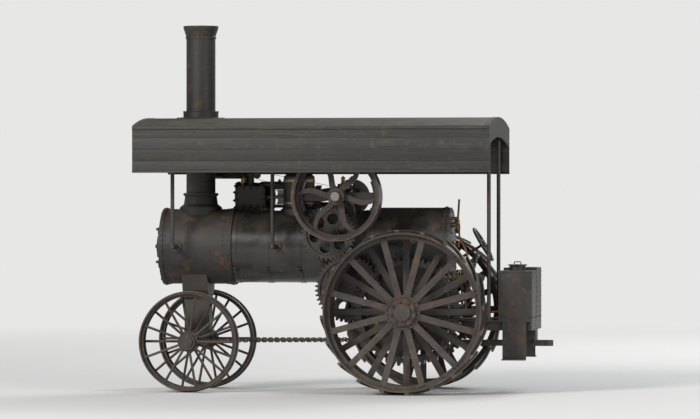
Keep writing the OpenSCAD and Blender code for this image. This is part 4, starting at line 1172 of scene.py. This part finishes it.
    def stack_rivets(self) -> None:
        """Seam and joint rings of the stack with the joint's band, and the rivets of its saddle."""
        x, top, foot = middle("smokestack").x, high("smokestack").z, BOILER_Z + self.smokebox_r
        joint = foot + 0.62 * (top - foot) - 0.32
        places = []
        for angle in (math.radians(128), math.radians(140)):
            out = Vector((math.cos(angle), math.sin(angle), 0))
            wall = Vector((x, 0, 0)) + out * self.stack_r
            places += on_line(wall + UP * (foot + 0.2), wall + UP * (top - 0.17), out, 0.045)
        for z, radius, count in ((foot + 0.008, 0.215, 20), (foot + 0.152, 0.178, 20),
                                 (joint - 0.022, 0.1535, 22), (joint + 0.022, 0.1535, 22)):
            places += on_circle((x, 0, z), UP, radius, count)
        hand_in("stack_rivets", STACK, copies(rivet(self.small_rivet), places))
        hand_in("stack_joint", STACK, hoop((x, 0, joint), UP, self.stack_r, 0.07, 0.0035, 64))

    def dome_bands(self) -> None:
        """Brass band under the dome's crown, and one round its foot."""
        x, top = middle("steam_dome").x, high("steam_dome").z
        hand_in("dome_bands", BRASS, hoop((x, 0, top - 0.115), UP, self.dome_r, 0.03, 0.004, 72),
                hoop((x, 0, top - 0.345), UP, self.dome_r, 0.022, 0.003, 72))

    def build(self) -> None:
        """Makes all of them."""
        self.firebox_rivets()
        self.stays()
        self.band_clamps()
        self.washout_plugs()
        self.smokebox_rivets()
        self.door_clamps()
        self.stack_rivets()
        self.dome_bands()


@dataclass
class EngineFittings:
    """Lagging, studs, oil cups, drain cocks and governor belt of the engine."""

    cylinder_y: float = -0.420
    cylinder_r: float = 0.145
    start_x: float = 1.560
    length: float = 0.350
    jacket: float = 0.005
    chest_y: float = -0.144
    bearing_y: tuple[float, float] = (0.310, -0.290)
    cap_half: float = 0.086
    head_nuts: int = 10
    cup_rise: float = 0.118
    bar_cups_x: tuple[float, float] = (1.20, 1.47)
    bar_cups_rise: float = 0.112
    cocks_x: tuple[float, float] = (0.045, 0.305)
    belt_y: float = -0.176
    belt: float = 0.004
    belt_half: float = 0.008
    crank_pulley_r: float = 0.070
    governor_pulley_r: float = 0.036

    def __post_init__(self) -> None:
        """Finds the cylinder's axis at both ends."""
        self.back = at(self.start_x, self.cylinder_y, CRANK.z)
        self.front = self.back + AHEAD * self.length

    def lagging(self) -> None:
        """Sheet-iron jacket round the cylinder with three brass bands."""
        centre, width, inner = (self.back + self.front) / 2, self.length - 0.054, self.cylinder_r
        hand_in("cylinder_jacket", BOILER, hoop(centre, AHEAD, inner, width, self.jacket))
        bands = [hoop(centre + AHEAD * (k * width * 0.43), AHEAD, inner + self.jacket, 0.02, 0.002)
                 for k in (-1, 0, 1)]
        hand_in("cylinder_bands", BRASS, *bands)

    def studs(self) -> None:
        """Nuts on both heads, on the steam chest's cover and on the bearing caps."""
        places = [place for end, out in ((self.front, AHEAD), (self.back, -AHEAD))
                  for place in on_circle(end, AHEAD, self.cylinder_r - 0.008, self.head_nuts, out, 0.2)]
        x0, wide, z0, tall = self.start_x + 0.034, self.length - 0.068, CRANK.z - 0.094, 0.188
        cover = [(i / 4, j) for i in range(5) for j in (0, 1)]
        cover += [(i, j / 3) for j in (1, 2) for i in (0, 1)]
        places += [Place(at(x0 + wide * i, self.chest_y, z0 + tall * j), LEFT) for i, j in cover]
        places += [Place((CRANK.x + s * self.cap_half, y, CRANK.z + 0.050), UP)
                   for y in self.bearing_y for s in SIDES]
        hand_in("engine_nuts", IRON, copies(nut(0.027, 0.008), places))

    def oil_cups(self) -> None:
        """Brass oil cups on the bearings, slide bars and steam chest."""
        profile = [(0, -0.02), (0.009, -0.02), (0.009, 0.0), (0.017, 0.004), (0.023, 0.018),
                   (0.023, 0.022), (0.020, 0.024), (0.020, 0.046), (0.025, 0.048), (0.025, 0.055),
                   (0.016, 0.062), (0.007, 0.066), (0.006, 0.076), (0, 0.078)]
        cup = turned(profile, sides=20)
        places = [Place((CRANK.x, y, CRANK.z + self.cup_rise), UP) for y in self.bearing_y]
        places += [Place(at(x, self.cylinder_y, CRANK.z + self.bar_cups_rise), UP, 0, 0.8)
                   for x in self.bar_cups_x]
        places.append(Place(at(self.start_x + 0.26, -0.25, CRANK.z + 0.100), UP, 0, 1.25))
        hand_in("oil_cups", BRASS, copies(cup, places), sharp=50)

    def drain_cocks(self) -> None:
        """Two drain cocks under the cylinder, with crossed handles."""
        cock = join(rod((0, 0, 0.02), (0, 0, -0.06), 0.008, 12),
                    rod((0, -0.022, -0.025), (0, 0.03, -0.025), 0.012, 14),
                    rod((0, 0.026, -0.052), (0, 0.026, 0.006), 0.0045, 8))
        places = [Place(at(self.start_x + x, self.cylinder_y, CRANK.z - self.cylinder_r), UP)
                  for x in self.cocks_x]
        hand_in("drain_cocks", BRASS, copies(cock, places))

    def governor_belt(self) -> None:
        """Flat leather belt from a small pulley on the crankshaft to the governor's pulley."""
        shaft = Vector((CRANK.x, self.belt_y, CRANK.z))
        pulley = Vector((middle("governor").x - 0.07, self.belt_y, CRANK.z + 0.225))
        big, small, half = self.crank_pulley_r, self.governor_pulley_r, self.belt_half
        lip = big + 0.004
        rim = [(0, -0.011), (lip, -0.011), (lip, -0.009), (big - 0.002, -half), (big - 0.002, half),
               (lip, 0.009), (lip, 0.011), (0, 0.011)]
        hand_in("governor_drive_pulley", IRON, turned(rim, shaft, LEFT, 40), body=Body.CRANK)
        way = pulley - shaft
        lean, open_by = math.atan2(way.z, way.x), math.asin((big - small) / way.length)
        arcs = ((shaft, big, lean + math.pi / 2 - open_by, math.pi + 2 * open_by),
                (pulley, small, lean - math.pi / 2 + open_by, math.pi - 2 * open_by))
        points = [centre + wheel_arm(start + sweep * i / 16) * (radius + self.belt / 2) - LEFT * half
                  for centre, radius, start, sweep in arcs for i in range(17)]
        release()
        bpy.ops.mesh.primitive_circle_add(vertices=len(points), radius=1.0)
        obj = bpy.context.object
        for vertex, point in zip(obj.data.vertices, points):
            vertex.co = point
        with editing():
            bpy.ops.mesh.extrude_region_move(TRANSFORM_OT_translate={"value": (0, 2 * half, 0)})
            face_outwards()
        refine(obj, "SOLIDIFY", thickness=self.belt, offset=0.0)
        hand_in("governor_belt", BELT, obj, sharp=60)

    def build(self) -> None:
        """Makes all of them."""
        self.lagging()
        self.studs()
        self.oil_cups()
        self.drain_cocks()
        self.governor_belt()


@dataclass
class WheelFittings:
    """What both kinds of wheels share: name, body, middle and outward direction."""

    side: int
    kind: str
    spokes: int

    def __post_init__(self) -> None:
        """Finds the wheel in the frame."""
        self.name = "left" if self.side > 0 else "right"
        self.body = Body(f"{self.kind}_wheel_{self.name}")
        self.centre = middle(self.body.value)
        self.out = LEFT * self.side

    def spoke_angles(self, row: int) -> list[float]:
        """Angles of one row's spokes; the outer row lies between the inner ones."""
        return [2 * math.pi * (i + (0.5 if row > 0 else 0)) / self.spokes for i in range(self.spokes)]


@dataclass
class DriveWheelFittings(WheelFittings):
    """Rivets of rim, rings, hub flanges and cleats of one drive wheel, and its hub bolts."""

    kind: str = "drive"
    spokes: int = 12
    cleats: int = 20
    rim_r: float = 0.800
    ring_r: float = 0.760
    flange_r: float = 0.157
    row: float = 0.148
    cleat_rows: tuple[float, ...] = (-0.16, -0.055, 0.055, 0.16)
    cleat_half: float = 0.034
    rivet_r: float = 0.0115
    cap_y: float = 0.200
    cap_bolts_r: float = 0.114
    skew: float = math.radians(32)

    def build(self) -> None:
        """Makes them as two pieces."""
        places = []
        for row in SIDES:
            out = self.out * row
            for angle in self.spoke_angles(row):
                for radius, face, beside, scale in ((self.ring_r, 0.012, 0.022, 1.0),
                                                    (self.flange_r, 0.018, 0.020, 0.9)):
                    arms = [wheel_arm(angle + step / radius) for step in (-beside, beside)]
                    places += [Place(self.centre + out * (self.row + face) + arm * radius, out, 0, scale)
                               for arm in arms]
        for i in range(self.cleats):
            for across in self.cleat_rows:
                for beside in SIDES:
                    along = across * math.tan(self.skew) + beside * self.cleat_half
                    arm = wheel_arm(2 * math.pi * (i + 0.25) / self.cleats + along / self.rim_r)
                    places.append(Place(self.centre + self.out * across + arm * self.rim_r, arm, 0, 0.95))
        hand_in(f"drive_rivets_{self.name}", WHEEL, copies(rivet(self.rivet_r), places), body=self.body)
        bolts = on_circle(self.centre + self.out * self.cap_y, LEFT, self.cap_bolts_r, 8, self.out, 0.2)
        hand_in(f"drive_hub_bolts_{self.name}", IRON, copies(nut(0.028, 0.005), bolts), body=self.body)


@dataclass
class FrontWheelFittings(WheelFittings):
    """Spoke rivets at rim and hub of one front wheel."""

    kind: str = "front"
    spokes: int = 9
    ring_r: float = 0.473
    hub_r: float = 0.092
    row: float = 0.065
    rivet_r: float = 0.0105

    def build(self) -> None:
        """Makes them as one piece."""
        places = []
        for row in SIDES:
            out = self.out * row
            for arm in map(wheel_arm, self.spoke_angles(row)):
                places += [Place(self.centre + out * (self.row + 0.009) + arm * self.ring_r, out),
                           Place(self.centre + out * (self.row + 0.014) + arm * self.hub_r, out, 0, 0.85)]
        hand_in(f"front_rivets_{self.name}", WHEEL, copies(rivet(self.rivet_r), places), body=self.body)


@dataclass
class Canopy:
    """Boarded roof that stands for the plain one, with skirt boards, end boards and stack collar; the
    near-black roof stands where a band of shade lies behind the stack, so its dark boards are painted shade
    as well as a canopy.
    """

    boards: int = 18
    thick: float = 0.020
    skirt_boards: int = 4
    skirt_thick: float = 0.018
    battens: int = 7
    end_boards: int = 20
    end_depth: float = 0.200
    hole_r: float = 0.190
    rise: float = 0.100
    strip: float = 0.05

    def __post_init__(self) -> None:
        """Takes the roof's box from the frame."""
        self.start, self.end = corners("canopy_roof")
        self.half = self.end.y
        self.radius = (self.half ** 2 + self.rise ** 2) / (2 * self.rise)
        self.spread = math.asin(self.half / self.radius)
        self.core_z, self.eave_z = self.end.z - self.radius, self.end.z - self.rise
        self.board_h = (self.eave_z - self.start.z) / self.skirt_boards
        long = self.end.x - self.start.x - 0.1
        self.batten_x = [self.start.x + 0.05 + i * long / (self.battens - 1) for i in range(self.battens)]
        self.stack_x = middle("smokestack").x

    def on_arch(self, angle: float, proud: float = 0.0) -> Vector:
        """Point on the roof's arch, at an angle from its crown and so far above it."""
        reach = self.radius + proud
        return Vector((0, reach * math.sin(angle), self.core_z + reach * math.cos(angle)))

    def roof(self) -> Obj:
        """Boards along the roof, side by side on the arch, with the stack's hole cut through.

        Returns:
            The boards.
        """
        step = 2 * self.spread / self.boards
        width = self.radius * step - 0.001
        planks = []
        for i in range(self.boards):
            angle = (i + 0.5) * step - self.spread
            plank = block((self.start.x, -width / 2, -self.thick), (self.end.x, width / 2, 0))
            plank.rotation_euler, plank.location = (-angle, 0, 0), self.on_arch(angle)
            planks.append(settle(plank))
        roof = join(*planks)
        cutter = rod((self.stack_x, 0, self.eave_z), (self.stack_x, 0, self.end.z + 0.1),
                     self.hole_r, 64, 0)
        refine(roof, "BOOLEAN", object=cutter, operation="DIFFERENCE", solver="EXACT")
        bpy.data.objects.remove(cutter)
        return roof

    def skirts(self) -> Obj:
        """Boards below both eaves with battens inside and strips along their bottom and top.

        Returns:
            Boards, strips and battens.
        """
        x0, x1, bottom, top = self.start.x, self.end.x, self.start.z, self.eave_z
        parts = []
        for side in SIDES:
            inner = side * (self.half - self.skirt_thick)
            parts += [block((x0, inner, bottom + i * self.board_h),
                            (x1, side * self.half, bottom + (i + 1) * self.board_h), 0.004)
                      for i in range(self.skirt_boards)]
            for low_z, high_z, proud, bevel in ((bottom, bottom + 0.022, 0.012, 0.005),
                                                (top - 0.034, top - 0.004, 0.014, 0.006)):
                parts.append(block((x0, inner, low_z), (x1, side * (self.half + proud), high_z), bevel))
            inside = side * (self.half - 0.040)
            parts += [block((x - 0.028, inner, bottom + 0.02), (x + 0.028, inside, top - 0.03))
                      for x in self.batten_x]
        return join(*parts)

    def ends(self) -> Obj:
        """Upright boards at both ends, cut to the arch above and below.

        Returns:
            The boards.
        """
        width = 2 * (self.half - 0.02) / self.end_boards
        parts = []
        for x in (self.start.x, self.end.x - self.skirt_thick):
            for i in range(self.end_boards):
                y = 0.02 - self.half + i * width
                board = block((x, y, 0), (x + self.skirt_thick, y + width, 1))
                for vertex in board.data.vertices:
                    arch = self.core_z + math.sqrt(self.radius ** 2 - vertex.co.y ** 2)
                    foot = arch - self.end_depth - 0.001
                    vertex.co.z = foot + (self.end_depth - self.thick) * vertex.co.z
                parts.append(board)
        return join(*parts)

    def edge_strips(self) -> None:
        """Sheet-metal strips bent over the ends of the roof boards."""
        strips = []
        for x in (self.start.x + self.strip / 2, self.end.x - self.strip / 2):
            release()
            bpy.ops.mesh.primitive_grid_add(x_subdivisions=2, y_subdivisions=40, size=1.0)
            strip = bpy.context.object
            for vertex in strip.data.vertices:
                along = AHEAD * (x + self.strip * vertex.co.x)
                vertex.co = self.on_arch(2 * self.spread * vertex.co.y, 0.0015) + along
            strips.append(refine(strip, "SOLIDIFY", thickness=0.003, offset=0.0))
        hand_in("roof_edge_strips", PLATE, *strips)

    def stack_collar(self) -> None:
        """Sheet-metal collar that keeps the hot stack off the boards."""
        top = Vector((self.stack_x, 0, self.end.z))
        rings = [hoop(top + UP * rise, UP, radius, width, thick, 64) for rise, radius, width, thick in
                 ((0.005, 0.178, 0.13, 0.003), (-0.002, 0.180, 0.014, 0.075), (0.068, 0.176, 0.010, 0.010))]
        hand_in("stack_collar", STACK, *rings)
        bolts = on_circle(top + UP * 0.005, UP, 0.235, 12, UP)
        hand_in("collar_bolts", STACK, copies(rivet(0.008), bolts))

    def build(self) -> None:
        """Makes the canopy, stands its boards for the plain roof and bolts the skirts to the battens."""
        forms = (("roof_boards", BOARDS, self.roof()), ("roof_skirts", SKIRTS, self.skirts()),
                 ("roof_ends", ENDS, self.ends()))
        for name, finish, form in forms:
            piece = hand_in(name, finish, form)
            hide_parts("canopy_roof")
        self.edge_strips()
        self.stack_collar()
        places = [Place((x, side * self.half, self.start.z + (j + 0.5) * self.board_h), LEFT * side)
                  for side in SIDES for x in self.batten_x for j in range(self.skirt_boards)]
        hand_in("skirt_bolts", IRON, copies(rivet(0.009), places))


@dataclass
class PlatformFittings:
    """Deck planks, tank and bunker seams and trim, lever latch, and the injector with its pipes."""

    plank: float = 0.128
    depth: float = 0.013
    pitch: float = 0.05
    rivet_r: float = 0.0075
    skin: float = 0.500
    inset: float = 0.028
    injector_y: float = 0.335
    injector_rise: float = 0.43
    cap_y: float = 0.250
    lever_lean: float = math.radians(104)

    def __post_init__(self) -> None:
        """Takes the boxes of tank, bunker and back plate from the frame."""
        self.tank, self.bunker = corners("water_tank"), corners("coal_bunker")
        self.deck, self.back = self.tank[0].z, low("firebox").x

    def planks(self) -> None:
        """Boards along the free part of the deck."""
        x0, x1 = self.tank[1].x + 0.004, high("platform").x - 0.065
        y0, y1 = self.bunker[0].y + 0.114, self.tank[1].y - 0.114
        count = round((y1 - y0) / self.plank)
        width, gap = (y1 - y0) / count, 0.0015
        top = self.deck + self.depth
        rows = [y0 + i * width for i in range(count)]
        planks = [block((x0, y + gap, self.deck), (x1, y + width - gap, top)) for y in rows]
        hand_in("deck_planks", PLANKS, *planks)

    def seams(self) -> None:
        """Rivets along the edges of tank and bunker, on their outer faces."""
        places = []
        for (a, b), side, lid, drop in ((self.tank, 1, 0.008, 0.13), (self.bunker, -1, 0.0, 0.03)):
            front, back, foot, top = a.x + lid, b.x - lid, a.z + self.inset, b.z - drop
            skin = side * self.skin
            near, far = side * (0.010 + self.inset), skin - side * self.inset
            edges = ((near, foot, near, top), (far, foot, far, top), (near, foot, far, foot))
            lines = [((x, y0, z0), (x, y1, z1), out) for x, out in ((front, -AHEAD), (back, AHEAD))
                     for y0, z0, y1, z1 in edges]
            ends = (front + self.inset, back - self.inset)
            lines += [((x, skin, foot), (x, skin, top), LEFT * side) for x in ends]
            lines.append(((ends[0], skin, foot), (ends[1], skin, foot), LEFT * side))
            places += [place for line in lines for place in on_line(*line, self.pitch)]
        hand_in("tank_rivets", PLATE, copies(rivet(self.rivet_r), places))

    def injector(self) -> None:
        """Injector on the back plate with suction, steam and delivery pipes."""
        back, y, z = self.back, self.injector_y, self.deck + self.injector_rise
        wheel, bend = Vector((back - 0.125, y, z + 0.075)), back - 0.17
        flanges = [(0, 0), (0.020, 0), (0.020, 0.012), (0.013, 0.016), (0.013, 0.05), (0.022, 0.056),
                   (0.022, 0.10), (0.013, 0.108), (0.013, 0.135), (0.020, 0.14), (0.020, 0.155), (0, 0.155)]
        check = [(0, 0), (0.030, 0), (0.030, 0.010), (0.018, 0.014), (0.018, 0.046), (0, 0.046)]
        hand_in("injector", BRASS, turned(flanges, (back - 0.20, y, z), AHEAD),
                turned(check, (back, y, z), -AHEAD), hoop(wheel, UP, 0.022, 0.007, 0.006, 24),
                rod((wheel.x, y, z), (wheel.x, y, z + 0.084), 0.005, 10),
                rod(wheel - AHEAD * 0.025, wheel + AHEAD * 0.025, 0.003, 8))
        low_y, steam_z, ahead = y - 0.09, BOILER_Z + 0.24, back - 0.215
        suction = pipe([(self.tank[1].x - 0.01, low_y, self.deck + 0.08), (bend, low_y, self.deck + 0.08),
                        (bend, low_y, z - 0.1), (bend, y, z - 0.06), (bend, y, z)], 0.013, 0.05)
        delivery = pipe([(back - 0.06, y, z), (back - 0.03, y, z)], 0.012)
        steam = pipe([(back - 0.005, 0.18, steam_z), (back - 0.10, 0.18, steam_z),
                      (back - 0.10, 0.24, BOILER_Z + 0.10), (back - 0.195, y, BOILER_Z - 0.06),
                      (ahead, y, z + 0.10), (ahead, y, z), (back - 0.19, y, z)], 0.010)
        hand_in("injector_pipes", COPPER, suction, delivery, steam)

    def trim(self) -> None:
        """Bead round the bunker's top, and rim, handle and hinge of the tank's filler cap."""
        a, b = self.bunker
        back, inner, outer = a.x + 0.004, b.y - 0.004, a.y + 0.004
        bead = pipe([(b.x, inner, b.z), (back, inner, b.z), (back, outer, b.z), (b.x, outer, b.z)],
                    0.008, 0.03)
        cap = Vector(((a.x + b.x) / 2, self.cap_y, self.tank[1].z))
        ring = hoop(cap - UP * 0.007, UP, 0.091, 0.010, 0.005, 48)
        grip = pipe([cap + Vector((x, 0, z)) for x, z in ((-0.034, -0.002), (-0.034, 0.026), (0.034, 0.026),
                                                         (0.034, -0.002))], 0.005, 0.018)
        knuckle = rod(cap + Vector((-0.03, 0.104, -0.006)), cap + Vector((0.03, 0.104, -0.006)), 0.009)
        leaf = block(cap + Vector((-0.012, 0.06, -0.001)), cap + Vector((0.012, 0.104, 0.004)), 0.001)
        hand_in("tank_trim", PLATE, bead, ring, grip, knuckle, leaf)

    def lever_latch(self) -> None:
        """Latch rod with its squeeze handle, guides and tongue ahead of the reverse lever."""
        a, b = corners("reverse_lever")
        foot = Vector((b.x - 0.070, b.y - 0.018, a.z + 0.040))
        along, ahead = wheel_arm(self.lever_lean), wheel_arm(self.lever_lean - math.pi / 2)
        latch = pipe([foot + along * r + ahead * off for r, off in (
            (0.400, 0.024), (0.550, 0.024), (0.580, 0.036), (0.650, 0.033))], 0.004, 0.02)
        guides = [rod(foot + along * r + ahead * 0.012, foot + along * r + ahead * 0.030, 0.008, 12)
                  for r in (0.420, 0.530)]
        tongue = foot + along * 0.463 + ahead * 0.021
        hand_in("lever_latch", STEEL, latch, *guides,
                rod(tongue - LEFT * 0.006, tongue + LEFT * 0.018, 0.011, 12))

    def build(self) -> None:
        """Makes all of them."""
        self.planks()
        self.seams()
        self.injector()
        self.trim()
        self.lever_latch()


@dataclass
class PressureGauge:
    """Dial, needle, bezel and glass on the gauge's plain case, and the guard of the water glass."""

    radius: float = 0.075
    y: float = -0.060
    rise: float = 0.620
    case: float = 0.062
    ticks: int = 13
    guard_x: float = 0.040
    guard_y: float = 0.190
    guard_r: float = 0.018

    def build(self) -> None:
        """Makes the gauge's face and the guard."""
        back, z = low("firebox").x, middle("fire_door").z + self.rise
        centre = Vector((back - self.case, self.y, z))
        inner, tip_r = self.radius - 0.009, self.radius - 0.014
        hand_in("gauge_bezel", BRASS, hoop(centre, AHEAD, inner, 0.016, 0.011, 48))
        edge = self.radius - 0.008
        plate = [(0, 0), (edge, 0), (edge, 0.002), (0, 0.002)]
        hand_in("gauge_dial", DIAL, turned(plate, centre, -AHEAD, 48))
        face, marks = centre - AHEAD * 0.0025, []
        for i in range(self.ticks):
            arm = around(math.radians(225 - 270 * i / (self.ticks - 1)))
            arm.y *= -1
            start = tip_r - (0.012 if i % 3 == 0 else 0.007)
            marks.append(rod(face + arm * start, face + arm * tip_r, 0.0009, 6, 0))
        needle, above = around(math.radians(200)), centre - AHEAD * 0.004
        needle.y *= -1
        marks += [rod(above - needle * 0.014, above + needle * 0.046, 0.0014, 6, 0),
                  rod(centre, centre - AHEAD * 0.006, 0.005, 12, 0.001)]
        hand_in("gauge_marks", IRON, *marks)
        lens = [(0, 0), (inner, 0), (inner, 0.0015), (0, 0.003)]
        hand_in("gauge_cover", GLASS, turned(lens, centre - AHEAD * 0.006, -AHEAD, 48))
        bars = []
        for angle in map(math.radians, (90, 210, 330)):
            foot = Vector((back - self.guard_x + self.guard_r * math.cos(angle),
                           self.guard_y + self.guard_r * math.sin(angle), z))
            bars.append(rod(foot - UP * 0.37, foot - UP * 0.19, 0.0028, 8, 0))
        hand_in("glass_guard", BRASS, *bars)


@dataclass
class Studio:
    """Pale floor, soft lamps and the camera."""

    azimuth: float = 188.0
    distance: float = 43.0
    eye_z: float = 1.85
    aim: Point = (0.0, 0.0, 1.86)
    frame_height: float = 4.30
    frame_shape: float = 700 / 419
    pale: Colour = (0.80, 0.80, 0.79)

    def backdrop(self) -> None:
        """Pale floor that the camera sees fade into the world's colour, so that no horizon shows."""
        release()
        bpy.ops.mesh.primitive_plane_add(size=160.0, location=(0, 0, 0))
        floor = bpy.context.object
        floor.name = "floor"
        material = bpy.data.materials.new("pale floor")
        material.use_nodes = True
        g = Graph(material.node_tree)
        place = g.here()
        tone = g.mix((0.79, 0.785, 0.77), (0.82, 0.815, 0.80), g.noise(place, 0.6, 5.0))
        shader = g.add("BsdfPrincipled", {"Base Color": tone, "Roughness": 0.8})
        seen = g.times(g.span(g.length(place), 5.0, 26.0), g.add("LightPath").outputs["Is Camera Ray"])
        haze = g.add("Emission", {"Color": self.pale})
        both = g.add("MixShader", {0: seen, 1: shader.outputs[0], 2: haze.outputs[0]})
        g.add("OutputMaterial", {"Surface": both.outputs[0]})
        floor.data.materials.append(material)

    def world(self) -> None:
        """Even soft light, with a paler background for the camera and behind glass."""
        world = bpy.data.worlds.new("studio")
        bpy.context.scene.world = world
        world.use_nodes = True
        g = Graph(world.node_tree)
        rays = g.add("LightPath").outputs
        light = g.add("Background", {"Color": (0.93, 0.96, 1.0), "Strength": 0.36})
        seen = g.add("Background", {"Color": self.pale, "Strength": 1.0})
        shown = g.most(rays["Is Camera Ray"], rays["Is Transmission Ray"])
        both = g.add("MixShader", {0: shown, 1: light.outputs[0], 2: seen.outputs[0]})
        g.add("OutputWorld", {"Surface": both.outputs[0]})

    def stand(self, data: bpy.types.ID, place: Point) -> Obj:
        """Stands a lamp or camera at a place, turned to the engine.

        Args:
            data: The lamp or camera.
            place: Where it stands.

        Returns:
            Its object.
        """
        obj = placed(data)
        obj.location = place
        obj.rotation_euler = (Vector(self.aim) - Vector(place)).to_track_quat("-Z", "Y").to_euler()
        return obj

    def lamp(self, name: str, place: Point, size: float, power: float, colour: Colour) -> None:
        """Adds one soft square lamp.

        Args:
            name: Name of the lamp.
            place: Where it stands.
            size: Side of its square.
            power: Power in watts.
            colour: Its colour.
        """
        data = bpy.data.lights.new(name, "AREA")
        data.size, data.energy, data.color = size, power, colour
        self.stand(data, place)

    def camera(self) -> None:
        """Camera with a long lens at the photo's viewing angle."""
        turn = math.radians(self.azimuth)
        data = bpy.data.cameras.new("camera")
        data.lens = data.sensor_width * self.distance / (self.frame_height * self.frame_shape)
        data.clip_end = 400.0
        bpy.context.scene.camera = self.stand(
            data, (math.sin(turn) * self.distance, -math.cos(turn) * self.distance, self.eye_z))

    def build(self) -> None:
        """Sets up floor, world, lamps and camera."""
        bpy.context.scene.view_settings.view_transform = "Standard"
        self.backdrop()
        self.world()
        self.lamp("key", (13.0, 22.0, 14.0), 7.0, 5200.0, (1.0, 0.975, 0.94))
        self.lamp("fill", (-20.0, 16.0, 9.0), 9.0, 1900.0, (0.94, 0.97, 1.0))
        self.lamp("back", (-8.0, -19.0, 14.0), 9.0, 2500.0, (1.0, 1.0, 1.0))
        self.camera()


def dress_frame() -> None:
    """Gives each CAD node its finish."""
    for finish, names in CAD_FINISHES.items():
        for name in names:
            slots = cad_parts[name].data.materials
            for i in range(len(slots)):
                slots[i] = finish.material()
            if not len(slots):
                slots.append(finish.material())
            LOG.info("%s wears %s", name, finish.name)


def main() -> None:
    """Builds the scene in order."""
    Studio().build()
    dress_frame()
    BoilerFittings().build()
    EngineFittings().build()
    for side in SIDES:
        DriveWheelFittings(side).build()
        FrontWheelFittings(side).build()
    Canopy().build()
    PlatformFittings().build()
    PressureGauge().build()
    release()


if __name__ == "__main__":
    main()
